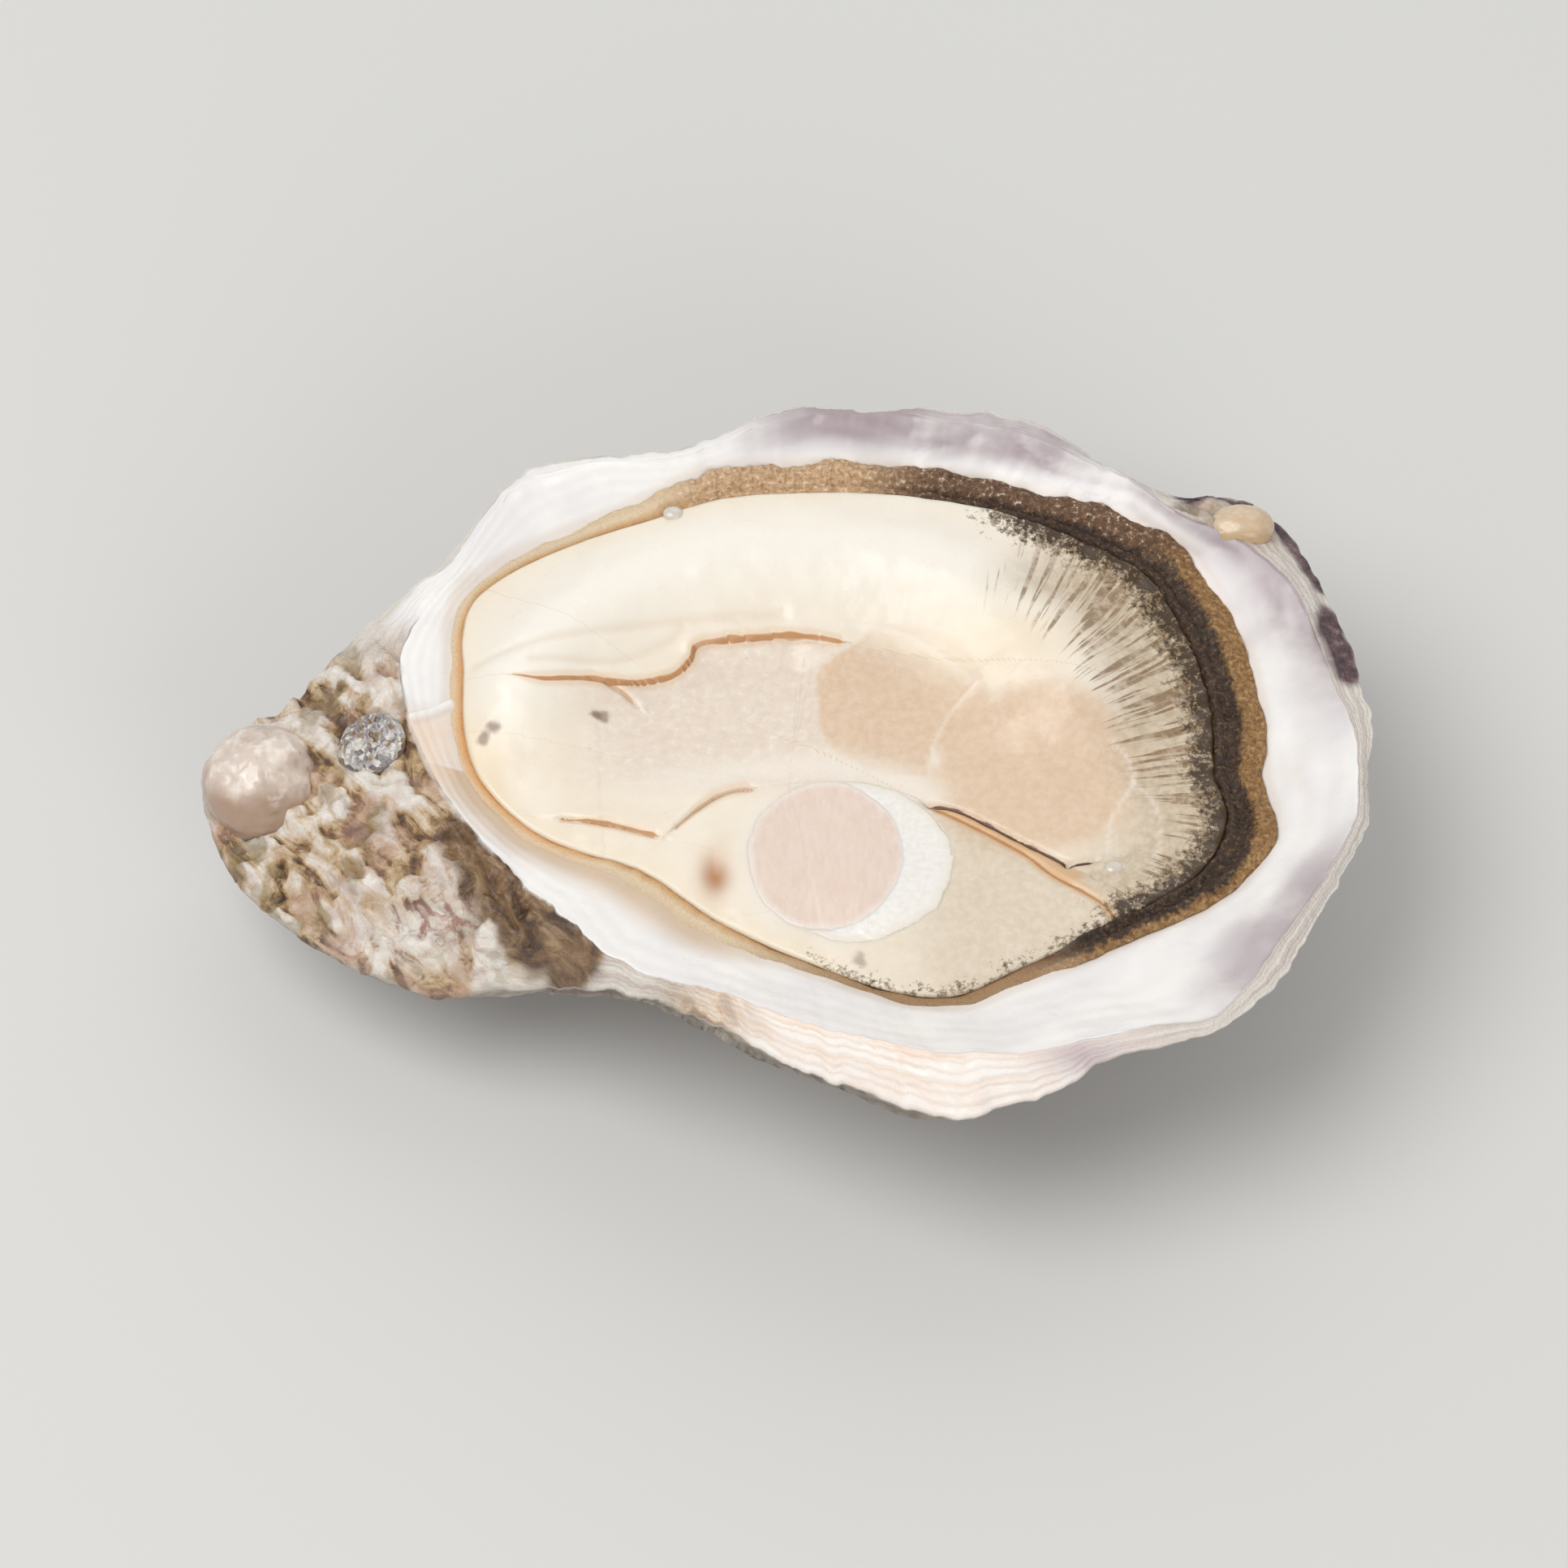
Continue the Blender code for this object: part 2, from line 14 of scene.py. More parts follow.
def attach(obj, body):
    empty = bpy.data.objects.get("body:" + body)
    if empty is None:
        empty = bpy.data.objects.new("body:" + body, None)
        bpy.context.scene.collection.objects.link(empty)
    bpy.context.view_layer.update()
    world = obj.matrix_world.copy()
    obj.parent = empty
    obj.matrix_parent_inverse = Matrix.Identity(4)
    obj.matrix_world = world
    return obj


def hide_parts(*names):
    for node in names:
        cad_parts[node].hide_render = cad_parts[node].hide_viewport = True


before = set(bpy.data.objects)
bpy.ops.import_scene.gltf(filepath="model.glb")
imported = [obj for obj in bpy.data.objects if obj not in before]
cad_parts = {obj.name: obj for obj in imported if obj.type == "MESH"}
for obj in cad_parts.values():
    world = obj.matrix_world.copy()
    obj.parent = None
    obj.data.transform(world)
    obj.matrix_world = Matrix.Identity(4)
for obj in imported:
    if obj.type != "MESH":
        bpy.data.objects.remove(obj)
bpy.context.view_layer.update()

MM = 0.001  # metres in a millimetre
TURN = 2 * math.pi

# ---- sizes that the shell and the meat share with the model ----

# The lip, where the smooth nacre ends, going round from the bill: x, y and height.
LIP = [
    (48.9, -2.7, 22.8), (46.4, 8.2, 22.4), (42.6, 18.0, 23.0), (34.2, 23.4, 24.0),
    (22.0, 30.6, 24.9), (12.2, 32.8, 25.2), (1.6, 32.9, 25.0), (-8.8, 29.2, 24.4),
    (-22.4, 27.2, 22.9), (-27.4, 20.4, 21.4), (-32.6, 11.6, 20.2), (-31.0, 1.8, 19.8),
    (-25.4, -8.2, 19.6), (-18.2, -16.3, 19.8), (-11.8, -22.2, 20.5), (-5.1, -24.6, 21.0),
    (3.6, -28.4, 21.4), (11.6, -30.5, 21.6), (18.3, -31.2, 21.8), (30.0, -28.9, 22.2),
    (36.6, -27.4, 22.4), (42.4, -19.0, 22.8), (47.9, -9.0, 23.0),
]
# The margin, which is the shell's broken outer edge, in the same order.
MARGIN = [
    (49.9, -3.0, 22.0), (49.7, 5.0, 21.7), (47.7, 14.0, 21.0), (44.3, 22.6, 20.4),
    (41.6, 26.2, 20.4), (38.4, 27.2, 21.0), (34.9, 25.6, 22.6), (29.3, 27.9, 23.4),
    (21.0, 33.0, 24.1), (12.3, 34.2, 24.4), (8.6, 33.7, 24.3), (1.6, 34.5, 24.2),
    (-9.1, 30.4, 23.6), (-22.8, 28.7, 22.2), (-28.4, 21.6, 20.6), (-35.6, 15.6, 18.4),
    (-43.0, 8.2, 15.6), (-47.6, 6.2, 14.0), (-49.9, 2.2, 13.5), (-48.2, -4.6, 12.5),
    (-43.7, -10.6, 12.0), (-29.4, -18.6, 12.0), (-22.4, -18.8, 13.2), (-13.6, -22.6, 18.4),
    (-5.2, -26.2, 18.2), (5.0, -31.6, 17.8), (10.9, -34.2, 17.8), (14.9, -34.9, 18.0),
    (20.3, -33.8, 18.4), (28.6, -30.6, 20.9), (33.6, -29.7, 21.5), (41.2, -24.8, 21.8),
    (43.9, -19.2, 22.0), (48.9, -9.4, 22.2),
]
# The outer side of the mantle's fringe, in the same order: x, y, the height of the shell where
# the cup turns into the nacre band, and the width of the fringe.
FRINGE = [
    (41.0, -1.0, 18.2, 4.0), (40.9, 5.5, 18.5, 4.0), (39.6, 11.6, 18.9, 4.0),
    (37.6, 16.3, 19.3, 3.9), (34.7, 20.7, 20.0, 3.7), (28.3, 24.3, 20.5, 3.3),
    (21.7, 26.8, 20.9, 2.9), (14.9, 28.4, 21.1, 2.7), (8.3, 29.4, 21.1, 2.7),
    (1.6, 29.4, 21.1, 2.6), (-5.2, 28.7, 21.0, 2.4), (-12.0, 26.2, 20.7, 1.8),
    (-18.8, 23.7, 20.2, 1.5), (-24.9, 20.3, 19.8, 1.3), (-28.0, 17.2, 19.6, 1.2),
    (-28.9, 13.5, 19.2, 1.2), (-28.8, 10.0, 18.8, 1.2), (-27.8, 0.0, 18.0, 1.3),
    (-23.6, -5.6, 17.6, 1.3), (-13.8, -11.0, 17.4, 1.6), (-5.4, -17.4, 17.4, 1.6),
    (3.0, -21.0, 17.4, 1.2), (14.5, -24.0, 17.4, 1.2), (21.0, -21.4, 17.6, 1.5),
    (29.8, -17.4, 17.8, 2.3), (38.4, -13.0, 18.0, 3.5), (41.7, -6.8, 18.1, 3.8),
]
ORIGIN_SHIFT = (-0.06, 0.44)  # brings the middle of the shell's box over the origin

CUP_FLOOR = 3.6
CUP_POWER = 2.1  # how late the cup turns up
BAND_POWER = 1.12
UMBO = (-31.0, 0.5)  # the point that the shell has grown out from
WALL = 4.2  # the shell's thickness under the meat
MARGIN_WALL = 1.0
HINGE_WALL = 4.5  # how much the wall thickens between these two places along X
HINGE_FROM, HINGE_TO = -20.0, -38.0
FLANGE_SLOPE = 0.35
NEAR_SIDE = -1.32  # the angle of the middle of the near side's smooth flange
LAMELLAE = 7  # growth layers on the underside
LAMELLA_LIFT = 1.3
LAMELLA_ROOM = 40.0  # how far out from the umbo they reach their full lift
RIB_LIFT = 0.7
RIBS = ((7, 0.4, 0.6), (11, 1.9, 0.4))  # count, start and share of each wave of ribs

KNOB_CENTRE = (-44.6, 1.2, 14.6)
KNOB_SIZE = (5.2, 5.2, 4.8)
BLISTER_CENTRE = (39.6, 22.6, 22.7)
BLISTER_SIZE = (2.9, 2.1, 1.7)
LIGAMENT = (-35.2, 2.6, 2.9, 2.8)  # an ellipse: the middle, then the half sizes

GAP = 0.35  # between the meat and the shell
MEAT_LEVEL = 19.0
EDGE_THICKNESS = 1.5
LOBE_PATH = [(-24.0, 8.5), (-17.0, 16.0), (-6.0, 20.5), (8.0, 20.5), (18.0, 16.5), (25.0, 8.0)]
LOBE_HEIGHT = 3.0
LOBE_WIDTH = 6.4
MEMBRANE_DROP = 1.3  # the step down from the upper membrane's torn edge
MEMBRANE_FADE = 7.0
PINK_MUSCLE = (3.6, -9.2, 6.8, 7.5)
WHITE_MUSCLE = (6.2, -9.8, 8.3, 8.1)
MUSCLE_BOTTOM = 16.0
LIGAMENT_BOTTOM = 17.0

# ---- the fine detail ----

SHELL_COLUMNS = 720
MEAT_COLUMNS = 860
FRINGE_COLUMNS = 1800
SHOULDER_LAYERS = 6
# Where each layer of the shoulder has its rows, and how much of its step is behind it there.
LAYER_ROWS = ((0.12, 0.02), (0.4, 0.07), (0.7, 0.15), (0.9, 0.26), (1.0, 0.9))
# How deep the stained grooves are, by layer and place in it.
GROOVES = {(0, 0.4): 0.8, (0, 0.7): 0.4, (3, 0.12): 0.7, (3, 0.4): 0.3}
# Each growth layer's rows on the underside: how far up from its edge, and how much it lifts.
LAMELLA_ROWS = ((0.034, 0.05), (0.018, 0.05), (0.005, 0.1), (0.0, 1.0), (-0.008, 0.92),
                (-0.022, 0.74), (-0.038, 0.55), (-0.06, 0.34), (-0.08, 0.2))
PLATES = (0.62, 0.78)  # the heading of the crust's plates is across this one
RIM_HALVES = (46, 36)  # half of the rim's length and width, for noise round it
FRINGE_RADIUS = 34  # the fringe's usual radius, for noise along it
WET = 0.08  # roughness of the liquor's film

CRAG = (-37.7, 11.2)  # a lump of crust on the far side of the hinge
SLIVER = [(-31.9, 4.5), (-30.2, 5.4), (-28.5, 6.7)]  # a raised sliver of nacre at the hinge, painted near-white as a highlight

# The torn edge of the upper membrane, the finer folds and the shallow creases.
MEMBRANE_LINE = [
    (-23.1, 7.9), (-20.5, 7.6), (-16.4, 8.4), (-13.5, 8.3), (-9.6, 9.4), (-8.0, 10.9),
    (-7.4, 12.2), (-4.5, 12.8), (-1.0, 13.0), (2.0, 13.0), (5.2, 12.4),
]
FOLD_LINES = [
    [(-18.8, -5.1), (-15.6, -5.6), (-13.4, -6.1), (-10.8, -6.9)],
    [(-9.1, -6.0), (-7.6, -4.4), (-5.8, -2.9), (-4.3, -2.2), (-2.7, -2.0)],
    [(-15.0, 8.4), (-13.4, 7.3), (-12.6, 6.6)],
]
CREASES = [
    [(-26.5, 9.6), (-18.0, 12.0), (-11.3, 13.7), (-6.8, 14.4), (0.0, 14.8)],
    [(-21.5, 9.4), (-14.5, 10.2), (-10.2, 12.2), (-8.6, 13.6)],
    [(-26.0, -8.0), (-18.0, -9.6), (-10.0, -13.4), (-2.0, -18.2)],
]
# The slit over the gills, its short branch, and the edge of the lobe that it opens along.
SLIT_LINE = [(12.1, -3.7), (14.7, -4.3), (17.6, -6.1), (20.2, -7.9), (22.2, -9.1), (24.1, -10.3)]
SLIT_BRANCH = [(24.1, -10.3), (26.4, -9.9)]
LOBE_EDGE = [(12.4, -3.9), (15.0, -5.4), (17.6, -7.1), (20.6, -9.3), (22.8, -11.3), (25.4, -13.0),
             (27.1, -14.4), (28.0, -16.0)]
# The pale arcs round the two tan zones, with how strong each is.
PALE_ARCS = [
    ([(5.2, 14.0), (9.1, 13.5), (12.4, 11.9), (15.3, 9.4), (16.5, 8.0)], 0.55),
    ([(16.5, 8.0), (15.0, 6.4), (13.7, 4.4), (12.8, 1.9), (12.5, -0.5)], 0.45),
    ([(28.0, 1.9), (29.5, -0.1), (29.8, -2.1), (28.7, -4.1), (27.7, -6.5), (27.5, -8.9)], 0.6),
    ([(29.8, -2.1), (31.5, -4.1), (32.0, -6.5), (31.7, -8.9), (31.1, -11.7)], 0.5),
]
# Ellipses: the middle, then the half sizes along X and Y.
TAN_A = (10.2, 6.4, 7.2, 7.5)
TAN_B = (21.4, -1.2, 9.2, 7.8)
SPOT = (-5.8, -10.9, 1.2, 2.1)
DROPLETS = (("liquor_bead_slit", 28.0, -10.5, 18.9, 0.75),
            ("liquor_bead_fringe", -9.5, 24.6, 22.0, 0.75))
SPECK_HALVES = (0.85, 0.9)
SPECKS = (((-25.6, 2.7), 0.9), ((-24.8, 3.5), 1.0), ((-15.7, 5.2), 1.0), ((6.4, -19.4), 0.6))


def ring(stations):
    """A function of the angle that runs smoothly round through a table's stations. It gives the
    radius from the origin, then each column that follows x and y."""
    table = np.array(stations)
    angle = np.arctan2(table[:, 1], table[:, 0]) % TURN
    order = np.argsort(angle)
    knots = angle[order]
    radius = np.hypot(table[:, 0], table[:, 1])
    values = np.column_stack([radius, table[:, 2:]])[order]
    knots = np.concatenate([knots[-2:] - TURN, knots, knots[:2] + TURN])
    values = np.concatenate([values[-2:], values, values[:2]])
    slopes = (values[2:] - values[:-2]) / (knots[2:] - knots[:-2])[:, None]
    knots, values = knots[1:-1], values[1:-1]

    def at(theta):
        theta = np.asarray(theta, float) % TURN
        i = np.clip(np.searchsorted(knots, theta, side="right") - 1, 0, len(knots) - 2)
        step = knots[i + 1] - knots[i]
        u = ((theta - knots[i]) / step)[..., None]
        step = step[..., None]
        rise = 3 * u**2 - 2 * u**3
        curve = values[i] * (1 - rise) + values[i + 1] * rise
        curve += slopes[i] * step * (u - 2 * u**2 + u**3)
        curve += slopes[i + 1] * step * (u**3 - u**2)
        return tuple(np.moveaxis(curve, -1, 0))

    return at


lip = ring(LIP)
margin = ring(MARGIN)
fringe = ring(FRINGE)


# ---- fields over the plan ----

def polar(x, y):
    return np.arctan2(y, x), np.hypot(x, y)


def on_plan(theta, radius):
    return radius * np.cos(theta), radius * np.sin(theta)


def points_of(x, y, z):
    return np.stack(np.broadcast_arrays(x, y, z), axis=-1)


def grain(x, y, size, seed=0.0, octaves=1):
    """Smooth noise from about -1 to 1 over the plan, with features of this size."""
    x, y = np.broadcast_arrays(x, y)
    pairs = zip((np.ravel(x) / size).tolist(), (np.ravel(y) / size).tolist())
    if octaves == 1:
        values = [noise.noise(Vector((a, b, seed))) for a, b in pairs]
    else:
        values = [noise.fractal(Vector((a, b, seed)), 1.0, 2.0, octaves) for a, b in pairs]
    return np.reshape(values, np.shape(x))


def smooth_path(points, count=12):
    """A Catmull-Rom line through points, with this many steps between two of them."""
    line = [points[0], *points, points[-1]]
    made = []
    for a, b, c, d in zip(line, line[1:], line[2:], line[3:]):
        a, b, c, d = (np.array(p) for p in (a, b, c, d))
        for t in np.arange(count) / count:
            made.append(0.5 * (2 * b + (c - a) * t + (2 * a - 5 * b + 4 * c - d) * t**2
                               + (3 * b - a - 3 * c + d) * t**3))
    made.append(np.array(points[-1]))
    return [tuple(p) for p in made]


def to_path(x, y, path):
    """Distance from a path, the side (above 0 is its far side), and how far along it, 0 to 1."""
    nearest = np.full(np.shape(x), np.inf)
    side = np.zeros(np.shape(x))
    along_all = np.zeros(np.shape(x))
    for n, ((ax, ay), (bx, by)) in enumerate(zip(path, path[1:])):
        ux, uy = bx - ax, by - ay
        along = held(((x - ax) * ux + (y - ay) * uy) / (ux**2 + uy**2))
        dx, dy = x - ax - along * ux, y - ay - along * uy
        distance = np.hypot(dx, dy)
        closer = distance < nearest
        nearest = np.where(closer, distance, nearest)
        side = np.where(closer, np.sign(ux * dy - uy * dx), side)
        along_all = np.where(closer, (n + along) / (len(path) - 1), along_all)
    return nearest, side, along_all


def away_from(x, y, points, steps=12):
    """Distance from the smooth line through points."""
    return to_path(x, y, smooth_path(points, steps))[0]


def held(value):
    """The value, held between 0 and 1."""
    return np.clip(value, 0, 1)


def hump(distance, width):
    """1 at no distance, which falls away over this width on both sides."""
    return np.exp(-((distance / width) ** 2))


def ramp(value, low, high):
    """0 below low and 1 above high, or the other way round, with a soft step between."""
    t = held((value - low) / (high - low))
    return t * t * (3 - 2 * t)


def span(value, rise_low, rise_high, fall_high, fall_low):
    """1 between two levels and 0 beyond them, with a soft step at each."""
    return ramp(value, rise_low, rise_high) * ramp(value, fall_high, fall_low)


def ellipse_share(x, y, ellipse):
    cx, cy, half_x, half_y = ellipse
    return np.hypot((x - cx) / half_x, (y - cy) / half_y)


def upper_face(theta, radius):
    """Height of the shell's upper side, without its broken steps."""
    lip_radius, lip_height = lip(theta)
    margin_radius, margin_height = margin(theta)
    edge_radius, cup_height, width = fringe(theta)
    cup_radius = edge_radius - width
    cup = CUP_FLOOR + (cup_height - CUP_FLOOR) * held(radius / cup_radius) ** CUP_POWER
    into_band = held((radius - cup_radius) / (lip_radius - cup_radius))
    band = (lip_height - cup_height) * into_band**BAND_POWER
    into_shoulder = held((radius - lip_radius) / (margin_radius - lip_radius))
    return cup + band - (lip_height - margin_height) * into_shoulder**1.5


def lower_face(x, y):
    theta, radius = polar(x, y)
    margin_radius, margin_height = margin(theta)
    share = held(radius / margin_radius)
    hinge = held((HINGE_FROM - x) / (HINGE_FROM - HINGE_TO)) ** 1.5
    wall = MARGIN_WALL + (WALL - MARGIN_WALL + HINGE_WALL * hinge) * (1 - share**7)
    flange = margin_height - MARGIN_WALL - FLANGE_SLOPE * margin_radius * (1 - share)
    return np.minimum(upper_face(theta, radius) - wall, flange)


def meat_radius(theta):
    edge_radius, _, width = fringe(theta)
    return edge_radius - width - GAP / 2


def angles_of(count):
    return np.arange(count) * TURN / count


def rim_grain(theta, size, seed):
    """Noise round the rim, with features of this size."""
    return grain(RIM_HALVES[0] * np.cos(theta), RIM_HALVES[1] * np.sin(theta), size, seed)


# ---- meshes ----

def skin(name, points, masks, hoop=False):
    """A closed surface through rows of points, with its masks as attributes. The columns close
    on themselves. The first and last rows are one point each, or in a hoop they join up."""
    points = points + np.array([*ORIGIN_SHIFT, 0])
    rows, columns = points.shape[:2]
    if hoop:
        grid = np.arange(rows * columns).reshape(rows, columns)
        grid = np.concatenate([grid, grid[:1]])
    else:
        grid = 1 + np.arange((rows - 2) * columns).reshape(-1, columns)
    after = np.roll(grid, -1, axis=1)
    faces = np.stack([grid[:-1], grid[1:], after[1:], after[:-1]], axis=-1)
    faces = faces.reshape(-1, 4).tolist()
    if not hoop:
        last = (rows - 2) * columns + 1
        faces += [(0, a, b) for a, b in zip(grid[0].tolist(), after[0].tolist())]
        faces += [(a, last, b) for a, b in zip(grid[-1].tolist(), after[-1].tolist())]

    def in_order(values):
        if hoop:
            return values.reshape(-1, *values.shape[2:])
        inner = values[1:-1].reshape(-1, *values.shape[2:])
        return np.concatenate([values[:1, 0], inner, values[-1:, 0]])

    mesh = bpy.data.meshes.new(name)
    mesh.from_pydata((in_order(points) * MM).tolist(), [], faces)
    for mask, values in masks.items():
        attribute = mesh.attributes.new(mask, "FLOAT", "POINT")
        attribute.data.foreach_set("value", in_order(np.asarray(values, float)))
    mesh.shade_smooth()
    mesh.update()
    piece = bpy.data.objects.new(name, mesh)
    bpy.context.scene.collection.objects.link(piece)
    return piece


def plan_rows(radius, z):
    """Points for rows of radii and heights, one column to each angle."""
    return points_of(*on_plan(angles_of(radius.shape[1]), radius), z)


# ---- the shell ----

def near_flange(theta):
    """1 along the near side, where the shoulder is a smooth flange."""
    return ramp(np.abs(theta - NEAR_SIDE), 0.62, 0.42)


def shell_rows():
    """The shell as rows from the middle of the cup, over the lip and round to the umbo."""
    theta = angles_of(SHELL_COLUMNS)
    edge_radius, cup_height, width = fringe(theta)
    cup_radius = edge_radius - width
    lip_radius, lip_height = lip(theta)
    margin_radius, margin_height = margin(theta)
    # The rim is chipped, less so where the beak is worn round.
    keen = 0.35 + 0.65 * ramp(margin_radius * np.cos(theta), -44, -30)
    chip = 0.55 * rim_grain(theta, 4.2, 3.0) + 0.3 * rim_grain(theta, 1.7, 8.0)
    chip += 0.18 * rim_grain(theta, 0.8, 5.0)
    margin_radius = margin_radius + keen * chip
    lip_radius = lip_radius + 0.35 * rim_grain(theta, 5.0, 11.0) + 0.45 * keen * chip
    lip_radius = np.minimum(lip_radius, margin_radius - 0.35)
    spread = margin_radius - lip_radius
    drop = lip_height - margin_height
    rough = ramp(spread, 3.0, 9.0)
    calm = near_flange(theta)

    rows, masks = [], {name: [] for name in (
        "nacre", "layer", "lamella", "worn", "crust", "groove", "plate", "out")}

    def add(points, **values):
        rows.append(points)
        for name, mask in masks.items():
            mask.append(np.broadcast_to(values.get(name, 0.0), theta.shape))

    def at_radius(radius, z, **values):
        add(points_of(*on_plan(theta, radius), z), **values)

    # The cup under the meat, then the smooth band that rises from the meat to the lip.
    for share in (0, 0.35, 0.65, 0.88):
        radius = cup_radius * share
        at_radius(radius, upper_face(theta, radius), nacre=1)
    for share in np.linspace(0, 1, 34):
        radius = cup_radius + share * (lip_radius - cup_radius)
        x, y = on_plan(theta, radius)
        z = cup_height + (lip_height - cup_height) * share**BAND_POWER
        z = z + 0.30 * share * grain(x, y, 8.0, 21.0) + 0.13 * grain(x, y, 3.0, 22.0)
        lines = np.sin(TURN * (share * 5 + 1.1 * grain(x, y, 9.0, 23.0)))
        z = z + 0.03 * lines * share + 0.05 * share * grain(x, y, 1.1, 24.0)
        z = z + 0.55 * hump(to_path(x, y, SLIVER)[0], 0.3)
        at_radius(radius, z, nacre=1, layer=0.5 + 0.5 * lines)
    # The shoulder: each layer slopes gently and ends in a ragged edge.
    for layer in range(SHOULDER_LAYERS):
        jag = [0.0, 0.0]
        for k in (0, 1):
            if 0 < layer + k < SHOULDER_LAYERS:
                ragged = 0.36 * rim_grain(theta, 3.1, 31.0 + layer + k)
                jag[k] = ragged + 0.2 * rim_grain(theta, 1.1, 41.0 + layer + k)
        tone = 0.5 + 0.5 * rim_grain(theta, 6.0, 51.0 + layer) + 0.2 * (layer % 3 - 1)
        start, end = (layer + jag[0]) / SHOULDER_LAYERS, (layer + 1 + jag[1]) / SHOULDER_LAYERS
        for u, fall in LAYER_ROWS:
            t = start + u * (end - start)
            radius = lip_radius + t * spread
            x, y = on_plan(theta, radius)
            stepped = start + fall * (end - start)
            stepped = stepped + calm * (t - stepped)
            z = lip_height - drop * (0.4 * t**1.5 + 0.6 * held(stepped) ** 1.15)
            # Plates of crust, longer along the lip than across it.
            long, wide = x * PLATES[0] - y * PLATES[1], x * PLATES[1] + y * PLATES[0]
            plate = ramp(grain(long / 1.9, wide, 2.1, 61.0, 2), -0.08, 0.16)
            z = z + rough * (1 - calm) * (0.95 * plate + 0.5 * grain(x, y, 1.1, 62.0, 2) - 0.5)
            z = z + (0.08 - 0.06 * calm) * grain(x, y, 0.8, 63.0)
            z = z + 0.3 * calm * grain(x, y, 3.4, 64.0)
            z = z + 1.1 * hump(np.hypot(x - CRAG[0], y - CRAG[1]), 1.5)
            z = z - 1.3 * ramp(ellipse_share(x, y, LIGAMENT), 1.25, 0.9)
            at_radius(radius, z, crust=rough, layer=tone, worn=float(u > 0.8),
                      groove=GROOVES.get((layer, u), 0), plate=plate, out=t)
    # The underside grows from the umbo: rows crowd at each layer's edge.
    margin_x, margin_y = on_plan(theta, margin_radius)
    room = held(np.hypot(margin_x - UMBO[0], margin_y - UMBO[1]) / LAMELLA_ROOM) ** 1.5
    heading = np.arctan2(margin_y - UMBO[1], margin_x - UMBO[0])
    wave = sum(share * np.sin(count * heading * 2 + start) for count, start, share in RIBS)
    add(points_of(margin_x * 0.997, margin_y * 0.997, margin_height - 0.4), lamella=1, layer=0.7)
    for k in range(LAMELLAE):
        edge = (LAMELLAE - k) / (LAMELLAE + 0.5)
        ragged = 0.8 + 0.5 * rim_grain(theta, 7.0, 70.0 + k)
        wander = 0.012 * rim_grain(theta, 5.0, 80.0 + k) + 0.005 * rim_grain(theta, 1.6, 90.0 + k)
        tone = 0.5 + 0.5 * rim_grain(theta, 9.0, 100.0 + k)
        for away, lift in LAMELLA_ROWS:
            stage = edge + away + wander
            x = UMBO[0] + stage * (margin_x - UMBO[0])
            y = UMBO[1] + stage * (margin_y - UMBO[1])
            out = room * held(edge * 2) * LAMELLA_LIFT * lift * ragged
            out = out + room * RIB_LIFT * wave * stage * held((1 - stage) * 5)
            out = out + 0.22 * grain(x, y, 1.9, 110.0 + k) + 0.1 * grain(x, y, 0.8, 120.0)
            slope_x = lower_face(x + 0.5, y) - lower_face(x - 0.5, y)
            slope_y = lower_face(x, y + 0.5) - lower_face(x, y - 0.5)
            steep = np.sqrt(1 + slope_x**2 + slope_y**2)
            z = np.maximum(lower_face(x, y) - out / steep, 0)
            x, y = x + out * slope_x / steep, y + out * slope_y / steep
            add(points_of(x, y, z), lamella=1, layer=tone, worn=float(lift >= 0.9))
    add(np.tile((*UMBO, float(lower_face(*UMBO))), (SHELL_COLUMNS, 1)), lamella=1, layer=0.5)
    return np.array(rows), {name: np.array(mask, float) for name, mask in masks.items()}


